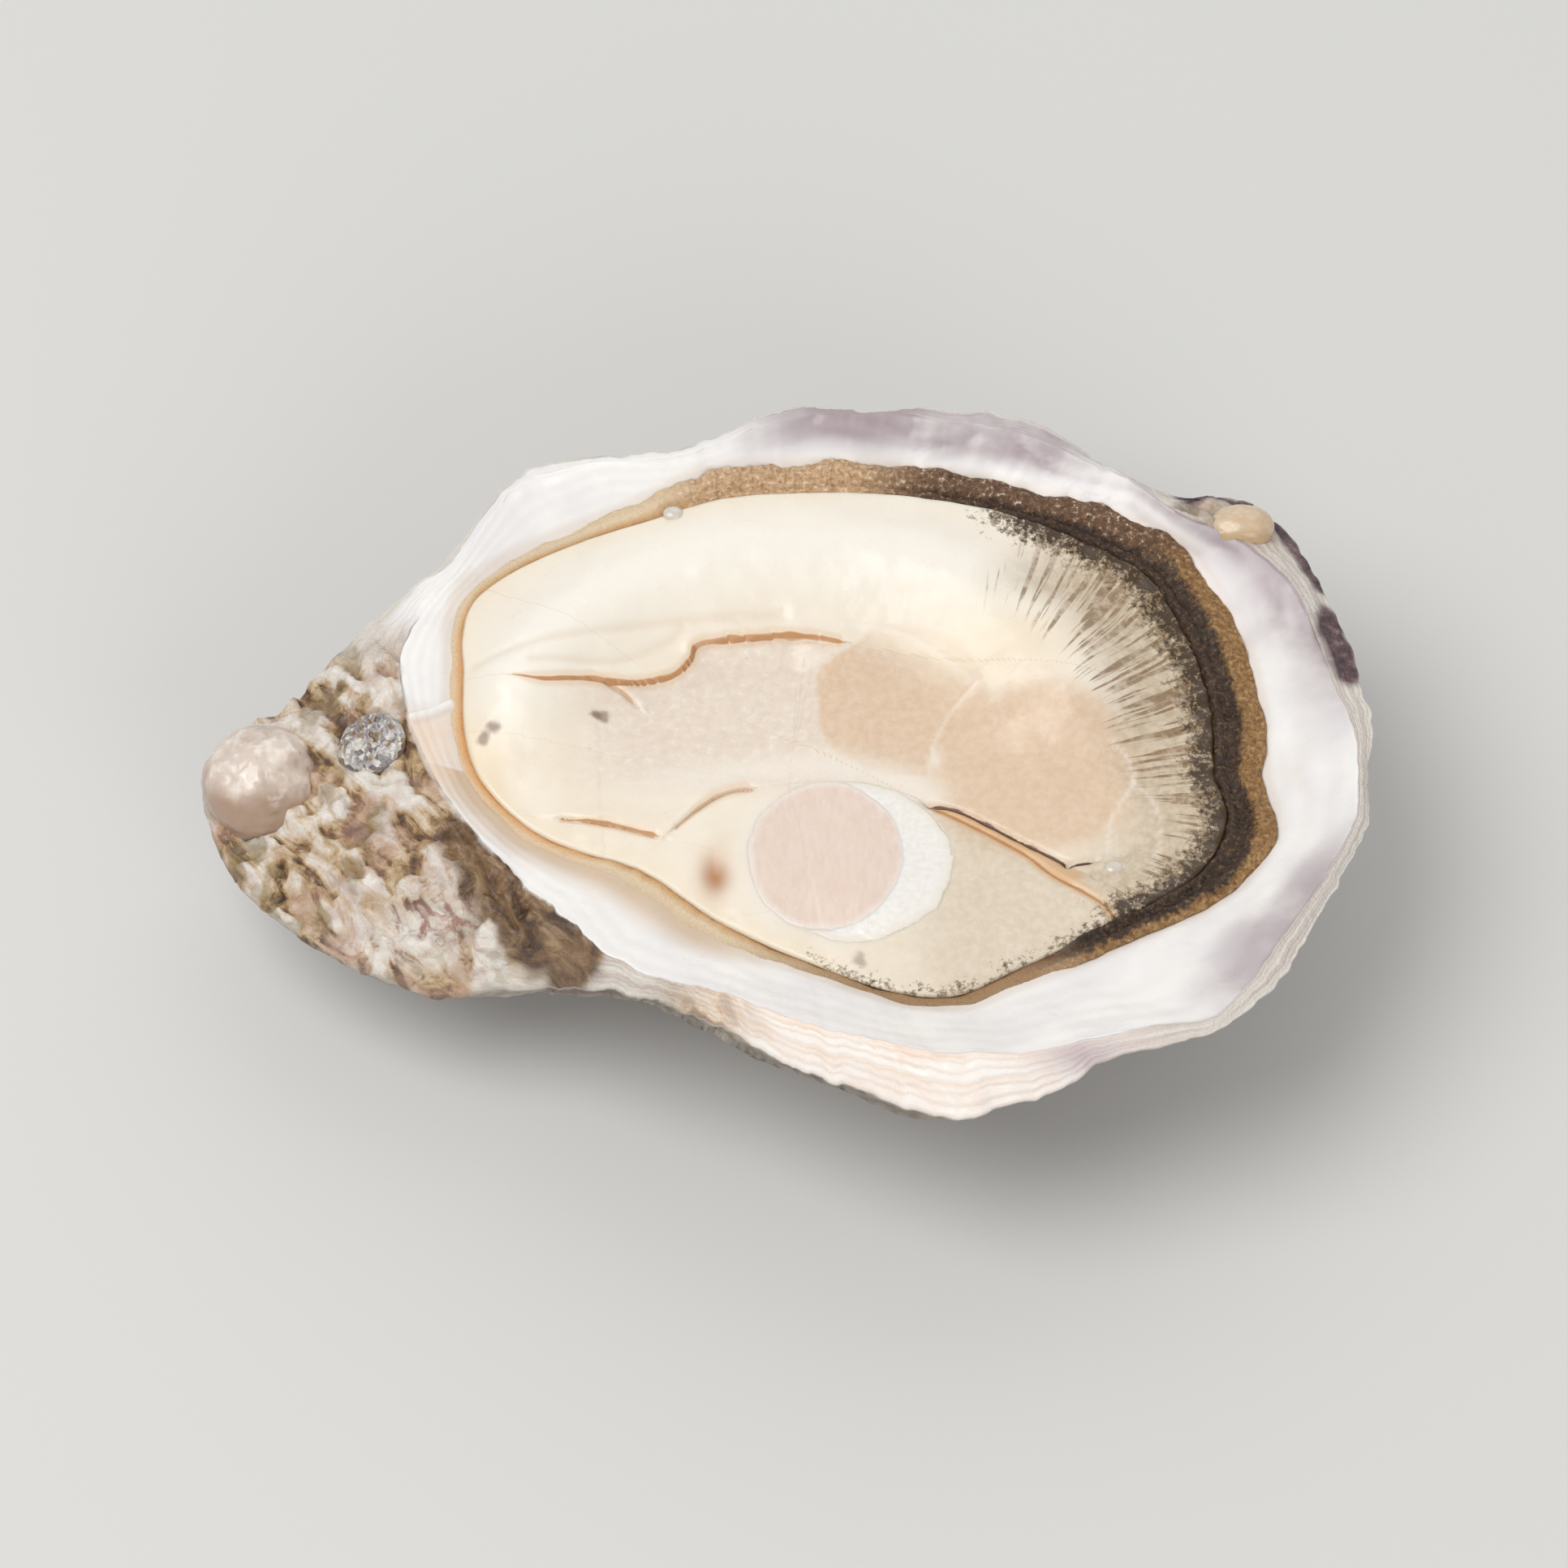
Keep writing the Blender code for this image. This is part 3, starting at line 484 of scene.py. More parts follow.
def shell_masks(points, masks):
    """Where the nacre is tinted, and where shade and a highlight are painted on it, over the whole
    shell.
    """
    x, y = points[..., 0], points[..., 1]
    theta, radius = polar(x, y)
    edge_radius, _, _ = fringe(theta)
    lip_radius, _ = lip(theta)
    across = np.clip((radius - edge_radius) / (lip_radius - edge_radius), 0, 1.3)
    wobble = grain(x, y, 5.0, 130.0)
    top = span(theta, 0.75, 0.95, 1.75, 1.45) * ramp(across + 0.2 * wobble, 0.1, 0.7)
    # Over the bill and low on the right the lilac-grey is partly tint and partly painted shade: it
    # darkens the bill where the key light falls brightest, and the hollow low on the right.
    bill = ramp(np.abs(theta - 0.4), 0.45, 0.2) * ramp(across + 0.25 * wobble, 0.25, 1.0)
    low = ramp(np.abs(theta + 0.42), 0.3, 0.1) * ramp(across + 0.2 * wobble, 0.35, 0.9)
    far_right = ramp(np.abs(theta - 0.5), 0.42, 0.15) * ramp(across, -0.05, 0.15)
    masks["lilac_and_shade"] = held(1.15 * top + 0.75 * bill + 0.8 * low + 0.36 * far_right)
    # Beside the fringe the nacre turns cream; along the near left this band widens into a tan that
    # is painted shade in the gap by the meat.
    near_left = ramp(theta, -1.55, -2.0)
    inner = ramp(radius - edge_radius, 1.0 + 3.0 * near_left, 0.1) * (0.35 + 0.65 * near_left)
    at_bill = hump(to_path(x, y, [(44.5, -1.5), (46.5, -3.5)])[0], 1.6)
    masks["cream_and_gap_shade"] = inner + 0.5 * at_bill * ramp(wobble, -0.3, 0.4)
    masks["left"] = ramp(x, -27, -30) * ramp(y, 7.0, 3.5) * masks["nacre"]
    # The near-white on the raised sliver is a painted highlight.
    masks["sliver_highlight"] = ramp(to_path(x, y, SLIVER)[0], 0.42, 0.2) * masks["nacre"]
    frill = away_from(x, y, [
        (34.5, 25.4), (37.5, 26.4), (41.4, 25.4), (43.8, 22.2), (46.2, 17.4)])
    frill = hump(frill + 0.25 * grain(x, y, 1.4, 132.0), 0.85)
    patch = to_path(x, y, [(46.8, 13.6), (48.3, 7.6)])[0]
    patch = hump(patch + 0.5 * grain(x, y, 1.6, 133.0), 1.6)
    masks["purple"] = held(2.2 * (frill + patch) - 0.6) * (masks["lamella"] < 0.5)
    shoulder = (masks["nacre"] < 0.5) * (masks["lamella"] < 0.5)
    masks["flange"] = near_flange(theta) * shoulder
    masks["groove"] = masks["groove"] * ramp(np.abs(theta + 1.6), 0.75, 0.45)
    for name, ellipse, width in (
            ("notch", (-7.6, -26.0, 4.6, 2.6), 0.9), ("frill", (25.2, -31.0, 4.6, 1.6), 0.9),
            ("chalky", (-30.6, -14.2, 6.0, 2.4), 1.0)):
        masks[name] = hump(ellipse_share(x, y, ellipse), width) * shoulder
    brown = away_from(x, y, [
        (-27.2, -7.2), (-24.4, -11.8), (-22.4, -15.0), (-19.4, -17.2), (-17.2, -19.4)])
    masks["brown"] = ramp(brown + 0.9 * grain(x, y, 1.6, 131.0), 3.0, 1.6) * shoulder
    # The nacre runs out over the far side's shoulder.
    spread = shoulder * span(theta, 0.62, 0.8, 2.8, 2.68)
    spread = spread * ramp(masks["out"] + 0.25 * wobble, 0.85, 0.6)
    masks["nacre"] = np.maximum(masks["nacre"], spread)
    return masks


# ---- the meat ----

def meat_height(x, y, cut=True):
    """Height of the meat's upper side, with its lobe, folds and slit, and cut for the muscles."""
    theta, radius = polar(x, y)
    _, cup_height, width = fringe(theta)
    share = held(radius / meat_radius(theta))
    edge = cup_height + EDGE_THICKNESS * (0.45 + 0.55 * ramp(width, 1.3, 2.3))
    height = MEAT_LEVEL + (edge - MEAT_LEVEL) * share**4
    height += LOBE_HEIGHT * hump(away_from(x, y, LOBE_PATH, 5), LOBE_WIDTH) * (1 - share**8)
    torn, side, along = to_path(x, y, smooth_path(MEMBRANE_LINE, 4))
    ends = span(along, 0.0, 0.4, 1.0, 0.85)
    height -= MEMBRANE_DROP * ends * np.where(
        side < 0, (0.3 + 0.7 * ramp(torn, 0, 3.5)) * np.exp(-torn / MEMBRANE_FADE), 0)
    height += 0.22 * hump(torn, 0.8) * (side > 0) * ends - 0.18 * hump(torn, 0.22) * ends
    for path in CREASES:
        height -= 0.14 * hump(away_from(x, y, path, 5), 0.5)
    height -= 0.4 * hump(away_from(x, y, SLIT_LINE, 4), 0.3)
    height -= 0.4 * hump(away_from(x, y, SLIT_BRANCH, 4), 0.35)
    lower, side, _ = to_path(x, y, smooth_path(LOBE_EDGE, 4))
    height += 0.12 * hump(lower - 1.2, 1.2) * (side < 0) - 0.3 * hump(lower, 0.3)
    for path in FOLD_LINES:
        away, side, _ = to_path(x, y, smooth_path(path, 5))
        height += 0.3 * hump(away, 1.3) * (side > 0) - 0.25 * hump(away, 0.3)
    height -= 0.6 * hump(ellipse_share(x, y, SPOT), 1)
    for muscle in (PINK_MUSCLE, WHITE_MUSCLE) if cut else ():
        outside = (ellipse_share(x, y, muscle) - 1) * min(muscle[2:])
        height -= 1.8 * ramp(outside, -0.3, -0.9)
    height += 0.45 * grain(x, y, 9.0) * (1 - share**6)
    return height


def meat_piece():
    theta = angles_of(MEAT_COLUMNS)
    edge = meat_radius(theta)
    shares = np.linspace(0, 1, 98)[1:] ** 0.9
    radius = shares[:, None] * edge
    x, y = on_plan(theta, radius)
    masks = meat_masks(x, y, radius / edge)
    z = meat_height(x, y)
    z += 0.10 * grain(x, y, 3.0, 201.0, 2) + 0.012 * grain(x, y, 0.7, 202.0)
    z += masks.pop("pleat")
    z[-1] -= 0.3
    floor_radius = np.array([[0.97], [0.8], [0.5]]) * edge
    floor = upper_face(theta, floor_radius) + GAP

    def row_of(value):
        return np.full((1, MEAT_COLUMNS), value)

    radius = np.concatenate([row_of(0.0), radius, floor_radius, row_of(0.0)])
    z = np.concatenate([row_of(z[0].mean()), z, floor, row_of(CUP_FLOOR + GAP)])
    for name, mask in masks.items():
        masks[name] = np.concatenate([row_of(mask[0].mean()), mask, np.tile(mask[-1], (4, 1))])
    return skin("mantle_flesh", plan_rows(radius, z), masks)


def meat_masks(x, y, share):
    """Where the meat's colours change, each from 0 to 1."""
    theta, _ = polar(x, y)
    depth = meat_radius(theta) * (1 - share)
    around = np.arctan2(y + 3, x - 15) * 23
    wobble = grain(x, y, 4.0, 210.0)
    # The pigmented side, from the far end of the top round to the slit's end.
    right = span(theta, -0.52, -0.42, 0.88, 0.6)
    reach = 3.5 + 7.5 * ramp(np.abs(theta - 0.48), 0.9, 0.1) + 1.6 * wobble
    olive = right * ramp(depth, 10.8 + wobble, 5.5 + wobble)
    hairs = right * ramp(depth, reach + 2.0, reach - 4.0)
    black = span(theta, -0.62, -0.45, 1.15, 0.75) * ramp(depth, 5.2, 0.2)
    black = np.maximum(black, 0.55 * ramp(theta, -1.7, -1.3) * ramp(depth, 2.6, 0.2) * (theta < 0))
    # Signed distances from the fine lines, in millimetres, stretched where a line thins out.
    lines = {}
    for name, path, start, end in (
            ("torn", MEMBRANE_LINE, 0.1, 0.02), ("fold_a", FOLD_LINES[0], 0.3, 0.05),
            ("fold_b", FOLD_LINES[1], 0.5, 0.1), ("fold_c", FOLD_LINES[2], 0.1, 0.5),
            ("slit", SLIT_LINE, 0.1, 0.02), ("branch", SLIT_BRANCH, 0.02, 0.3),
            ("lobe", LOBE_EDGE, 0.05, 0.02)):
        away, hand, along = to_path(x, y, smooth_path(path, 6))
        away += 0.12 * grain(x, y, 1.3, 213.0)
        taper = 0.25 + 0.75 * ramp(along, 0, start) * ramp(along, 1, 1 - end)
        lines[name] = np.clip(hand * away / taper, -4, 4)
    torn, side = np.abs(lines["torn"]), np.sign(lines["torn"])
    crease = sum(hump(away_from(x, y, path, 5), 0.4) for path in CREASES)
    upper = to_path(x, y, smooth_path(SLIT_LINE, 4))
    lower = to_path(x, y, smooth_path(LOBE_EDGE, 4))
    strip = (upper[1] < 0) * (lower[1] > 0) * ramp(upper[0], 2.4, 1.2) * ramp(lower[0], 2.6, 1.2)
    under = (lower[1] < 0) * ramp(x, 4, 17) * ramp(lower[0], 0, 0.6)
    olive = np.maximum(olive, 0.55 * under)
    # The lowered middle, greyer and more see-through, and the two tan zones beside it.
    flat = (side < 0) * ramp(torn, 0, 0.4) * ramp(y, 14.5, 12.8) * span(x, -21, -12, 14, 8)
    flat = flat * ramp(y + 0.25 * wobble, -3.6, -0.6)
    zone_a = ramp(ellipse_share(x, y, TAN_A) + 0.10 * wobble, 1.05, 0.97) * (
        1 - 0.75 * ramp(0.5 * x + y, 13.0, 18.5))
    zone_b = ramp(ellipse_share(x, y, TAN_B) + 0.14 * wobble, 1.3, 0.8)
    tan = held(zone_a * (1 - zone_b) + zone_b)
    arcs = sum(strength * ramp(away_from(x, y, path, 6), 0.3, 0.08)
               for path, strength in PALE_ARCS)
    white = hump(away_from(x, y, [
        (-18.0, -2.6), (-8.0, -1.0), (2.0, 0.0), (9.0, -1.2), (12.6, -3.0)], 5), 1.7)
    white *= ramp(x, -20, -4)
    outside = (ellipse_share(x, y, PINK_MUSCLE) - 1) * 7
    white = np.maximum(white, 0.8 * hump(outside - 0.5, 0.8) * ramp(x, 2, -2))
    white = np.maximum(white, 0.9 * hump(ellipse_share(x, y, (13.0, 0.7, 0.6, 1.2)), 1))
    yellow = 0.9 * hump(ellipse_share(x, y, (20.5, 11.0, 10.0, 4.5)), 1)
    yellow = yellow + hump(ellipse_share(x, y, (-25.6, -0.8, 2.2, 4.6)), 1)
    yellow = yellow + 0.4 * ramp(depth, 2.4, 0.3) * (x < 5)
    spot = hump(ellipse_share(x, y, SPOT), 1)
    uneven = 0.45 * grain(x, y, 0.7, 214.0)
    speck = sum(deep * ramp(ellipse_share(x, y, (*at, *SPECK_HALVES)) + uneven, 1, 0.3)
                for at, deep in SPECKS)
    pleat = 0.1 * right * np.sin(around * 2.6 + 2 * wobble) * ramp(depth, reach, 1.0)
    pleat += 0.1 * held(arcs)
    # The top of the lobe: its paler cream is partly the meat's own tone and partly a painted
    # highlight.
    ridge = hump(away_from(x, y, LOBE_PATH, 5), LOBE_WIDTH * 0.8)
    return {
        **lines, "around": around, "depth": depth, "olive": olive, "hairs": hairs, "black": black,
        "crease": held(crease), "strip": strip, "flat": flat,
        "tan": tan, "white": held(white + arcs), "yellow": held(yellow),
        "spot": spot, "speck": held(speck), "ridge": ridge, "pleat": pleat,
    }


# ---- the fringe ----

def fringe_piece(section=32):
    """The ruffled edge of the mantle: a black inner ridge and a brown outer frill."""
    turns = angles_of(FRINGE_COLUMNS)[:, None]
    theta = (turns + math.pi) % TURN - math.pi
    edge_radius, _, width = fringe(theta)
    turn = angles_of(section)[None, :]
    across = 0.5 + 0.5 * np.cos(turn)  # 0 at the meat, 1 on the nacre
    upper = np.sin(turn) > 0.01
    around = theta * FRINGE_RADIUS
    wide = ramp(width, 1.3, 2.3)
    scallop = grain(around / 4.6, 0, 1.0, 301.0) + 0.35 * grain(around / 1.5, 0, 1.0, 302.0)
    radius = edge_radius - (width + 0.75) * (1 - across) + 0.5 * scallop * across * (0.3 + wide)
    base = upper_face(theta, radius) + 0.03 + 0.07 * wide
    waves = grain(around / 2.4, across / 0.8, 1.0, 303.0)
    papillae = grain(around / 0.45, across / 0.15, 1.0, 304.0)
    ridge = 1.25 * hump(across - 0.16, 0.16) + 0.95 * hump(across - 0.64, 0.27)
    thin = 0.6 * hump(across - 0.12, 0.26) + 0.05
    height = thin * (1 - wide) + ridge * wide + (0.9 - 0.4 * wide) * (1 - across) ** 2
    height = height * (0.95 + 0.35 * waves) + 0.26 * papillae * (0.15 + 0.85 * wide) + 0.05
    height = height * np.sqrt(held(np.sin(turn))) ** 0.8
    z = base + np.where(upper, height * (0.55 + 0.6 * wide), 0.0) - 0.2 * (1 - wide) * across**4
    masks = {
        "across": across + 0.07 * waves - 0.2 * span(theta, -0.75, -0.6, -0.15, -0.35),
        "banded": span(theta, -0.85, -0.6, 0.62, 0.45),
        "speckled": span(theta, 0.3, 0.45, 2.05, 1.75),
        "dusky": span(theta, -1.9, -1.2, -0.6, -0.8),
        "inky": span(theta, -1.0, -0.6, 1.35, 0.9),
        "golden": ramp(theta, 1.1, 1.4),
        "orange": ramp(np.abs(np.abs(theta) - math.pi), 0.6, 0.3),
    }
    masks = {name: np.broadcast_to(mask, z.shape) for name, mask in masks.items()}
    return skin("mantle_frill", points_of(*on_plan(theta, radius), z), masks, hoop=True)


def droplet(name, x, y, level, size):
    """A bead of the liquor."""
    theta = angles_of(36)
    phi = np.linspace(0, math.pi, 19)[:, None]
    flat = np.where(np.cos(phi) > 0, 0.62, 0.3)
    return skin(name, points_of(x + size * np.sin(phi) * np.cos(theta) * 1.2,
                                y + size * np.sin(phi) * np.sin(theta),
                                level + size * flat * np.cos(phi)), {})


# ---- the small pieces ----

def disc_piece(name, ellipse, top_of, bottom, columns=220, rings=52, skirt=0.35):
    """A piece on an ellipse, from a level up to the surface that top_of gives."""
    cx, cy, half_x, half_y = ellipse
    theta = angles_of(columns)
    edge_x, edge_y = half_x * np.cos(theta) + cx, half_y * np.sin(theta) + cy
    edge = 1 + 0.045 * grain(edge_x, edge_y, 2.2, 401.0) + 0.02 * grain(edge_x, edge_y, 0.7, 402.0)
    shares = np.linspace(0, 1, rings)
    share = shares[:, None] * edge
    x, y = cx + share * half_x * np.cos(theta), cy + share * half_y * np.sin(theta)
    z = top_of(x, y, np.broadcast_to(shares[:, None], x.shape))
    z[-1] -= skirt
    x, y = (np.concatenate([values, values[-1:], values[:1]]) for values in (x, y))
    z = np.concatenate([z, np.full((2, columns), bottom)])
    rim = np.concatenate([np.repeat(shares[:, None], columns, 1), np.ones((2, columns))])
    return skin(name, points_of(x, y, z), {"rim": rim})


def pink_top(x, y, share):
    fibres = grain(x, y, 0.5, 411.0)
    return meat_height(x, y, False) + 0.12 + 0.35 * (1 - share**2) + 0.015 * fibres + (
        0.12 * (1 - share**4) * grain(x, y, 3.0, 413.0))


def white_top(x, y, share):
    fibres = grain(x / 0.6, y / 0.6, 1.0, 421.0, 3)
    inside = ellipse_share(x, y, PINK_MUSCLE)
    height = meat_height(x, y, False) + 0.02 + 0.3 * (1 - share**2) + 0.04 * fibres
    return height - 0.7 * ramp(inside, 1.0, 0.85)


def ligament_top(x, y, share):
    theta, radius = polar(x, y)
    lumps = grain(x, y, 1.1, 431.0) + 0.6 * grain(x, y, 0.5, 432.0)
    return upper_face(theta, radius) - 0.6 + 1.2 * np.sqrt(1 - 0.85 * share**2) * (1 + 0.6 * lumps)


def lump_piece(name, centre, size, relief, columns=160, rings=96):
    """A rounded lump with pits, growth marks and specks."""
    theta = angles_of(columns)
    phi = np.linspace(0, math.pi, rings)[:, None]
    unit = points_of(np.sin(phi) * np.cos(theta), np.sin(phi) * np.sin(theta), np.cos(phi))
    swell = np.array([[noise.noise(Vector(p) * 1.6) for p in row] for row in unit.tolist()])
    marks = np.array([
        [noise.fractal(Vector(p) * 4.5, 1.0, 2.0, 4) for p in row] for row in unit.tolist()])
    # The low mask marks the lump's lower, near side, which the material paints darker as shade.
    low = ramp(unit @ np.array((0.1, -0.8, -0.6)) + 0.3 * swell, -0.15, 0.35)
    points = np.array(centre) + unit * np.array(size) * (
        1 + 0.06 * swell + relief * marks)[..., None]
    return skin(name, points, {"marks": marks, "low": low})


# ---- shader helpers: each gives the socket that comes out of the nodes it makes ----

STUDIO_SHARE = 0.91  # the base colour's share of a colour as seen under the studio light
MIX_A, MIX_B, MIX_RESULT = 6, 7, 2  # where a mix node keeps its colours
WATER_IOR = 1.34


def seen(red, green, blue):
    """The base colour that comes out as this colour, from 0 to 255, under the studio light."""
    scaled = [c / 255 for c in (red, green, blue)]
    return [STUDIO_SHARE * (c / 12.92 if c <= 0.04045 else ((c + 0.055) / 1.055) ** 2.4)
            for c in scaled]


def new_material(name):
    made = bpy.data.materials.new(name)
    made.use_nodes = True
    return made, made.node_tree, made.node_tree.nodes["Principled BSDF"]


def feed(node, inputs):
    """Links a node's inputs to sockets, or sets them to values or to colours as seen."""
    for name, source in inputs.items():
        socket = node.inputs[name]
        if isinstance(source, bpy.types.NodeSocket):
            node.id_data.links.new(source, socket)
        elif socket.type == "RGBA":
            socket.default_value = (*seen(*source), 1)
        else:
            socket.default_value = source


def make(tree, kind, inputs, **settings):
    """The outputs of a new node of this kind."""
    node = tree.nodes.new("ShaderNode" + kind)
    for name, value in settings.items():
        setattr(node, name, value)
    feed(node, inputs)
    return node.outputs


def mask_of(tree, name):
    return make(tree, "Attribute", {}, attribute_name=name)["Fac"]


def place(tree, turn=0.0, stretch=(1.0, 1.0, 1.0)):
    """The spot on the piece in millimetres, turned about the vertical and then stretched."""
    where = make(tree, "TexCoord", {})["Object"]
    scaled = make(tree, "Mapping", {
        "Vector": where, "Rotation": (0, 0, turn), "Scale": (1 / MM, 1 / MM, 1 / MM)})["Vector"]
    return make(tree, "VectorMath", {0: scaled, 1: stretch}, operation="DIVIDE")[0]


def mottle(tree, size, detail=3.0, roughness=0.55, where=None, distortion=0.0):
    """Noise from 0 to 1 with features of this size in millimetres."""
    return make(tree, "TexNoise", {
        "Vector": where or place(tree), "Scale": 1 / size, "Detail": detail,
        "Roughness": roughness, "Distortion": distortion})["Fac"]


def reckon(operation, a, b=0.0, clamp=False):
    """A sum with two values, of which one at least is a socket."""
    tree = (a if isinstance(a, bpy.types.NodeSocket) else b).id_data
    return make(tree, "Math", {0: a, 1: b}, operation=operation, use_clamp=clamp)[0]


def times(a, b):
    return reckon("MULTIPLY", a, b)


def plus(a, b):
    return reckon("ADD", a, b)


def between(value, low, high, out_low=0.0, out_high=1.0):
    """A soft step of a value from one level to another."""
    return make(value.id_data, "MapRange", {
        "Value": value, "From Min": low, "From Max": high, "To Min": out_low,
        "To Max": out_high}, interpolation_type="SMOOTHSTEP")["Result"]


def blend(factor, a, b):
    """From colour a, where the factor is 0, to colour b, where it is 1."""
    return make(factor.id_data, "Mix", {"Factor": factor, MIX_A: a, MIX_B: b},
                data_type="RGBA")[MIX_RESULT]


def tint(colour, *layers):
    """Blends a colour towards each layer's colour in turn, where the layer's mask is high."""
    for mask, strength, target in layers:
        colour = blend(times(mask_of(colour.id_data, mask), strength), colour, target)
    return colour


def lines_of(tree, *lines):
    """Thin lines where signed distances cross zero, each with its mask, width and strength."""
    made = None
    for name, width, strength in lines:
        away = reckon("ABSOLUTE", mask_of(tree, name))
        line = between(away, 0.45 * width, width, strength, 0.0)
        made = reckon("MAXIMUM", made, line) if made else line
    return made


def colours_along(value, *stops):
    """A colour for each level of a value, from stops that are a level and a colour as seen."""
    node = value.id_data.nodes.new("ShaderNodeValToRGB")
    feed(node, {"Fac": value})
    elements = node.color_ramp.elements
    while len(elements) < len(stops):
        elements.new(0.5)
    for element, (level, *colour) in zip(elements, stops):
        element.position = level
        element.color = (*seen(*colour), 1)
    return node.outputs["Color"]


def bump(height, strength, distance, under=None):
    """A normal with this relief, on top of the one under it."""
    inputs = {"Strength": strength, "Distance": distance, "Height": height}
    if under:
        inputs["Normal"] = under
    return make(height.id_data, "Bump", inputs)["Normal"]


def wet_film_group():
    """The liquor's film: it pools smooth and beads into fine specks that catch the light."""
    group = bpy.data.node_groups.new("wet film", "ShaderNodeTree")
    for name, way in (("Speck size", "INPUT"), ("Height", "OUTPUT"), ("Roughness", "OUTPUT")):
        group.interface.new_socket(name, in_out=way, socket_type="NodeSocketFloat")
    entry = group.nodes.new("NodeGroupInput")
    leave = group.nodes.new("NodeGroupOutput")
    where = make(group, "VectorMath", {0: place(group), 1: entry.outputs["Speck size"]},
                 operation="DIVIDE")[0]
    fine = mottle(group, 1.0, 2.0, 0.6, where)
    beads = make(group, "TexVoronoi", {"Vector": where, "Scale": 0.7}, feature="SMOOTH_F1")
    bead = between(beads["Distance"], 0.42, 0.1)
    patches = between(mottle(group, 6.0, 2.0), 0.5, 0.62)
    feed(leave, {
        "Height": plus(times(bead, patches), times(fine, 0.35)),
        "Roughness": between(mottle(group, 2.4, 3.0), 0.3, 0.7, 0.26, 0.46)})
    return group


WET_FILM = wet_film_group()


def wet_surface(shader, colour, normal, speck_size, strength, distance=0.0002):
    """Feeds a shader its colour and its relief with the liquor's film on top, and gives the
    film's roughness."""
    film = make(shader.id_data, "Group", {"Speck size": speck_size}, node_tree=WET_FILM)
    feed(shader, {"Base Color": colour, "Roughness": film["Roughness"],
                  "Normal": bump(film["Height"], strength, distance, normal)})
    return film["Roughness"]


def soft_flesh(shader, soft=0.3, coat=0.22):
    feed(shader, {
        "Subsurface Weight": soft, "Subsurface Radius": (1.0, 0.7, 0.5),
        "Subsurface Scale": 0.0012, "Coat Weight": coat, "Coat Roughness": WET,
        "Coat IOR": WATER_IOR})


# ---- materials ----

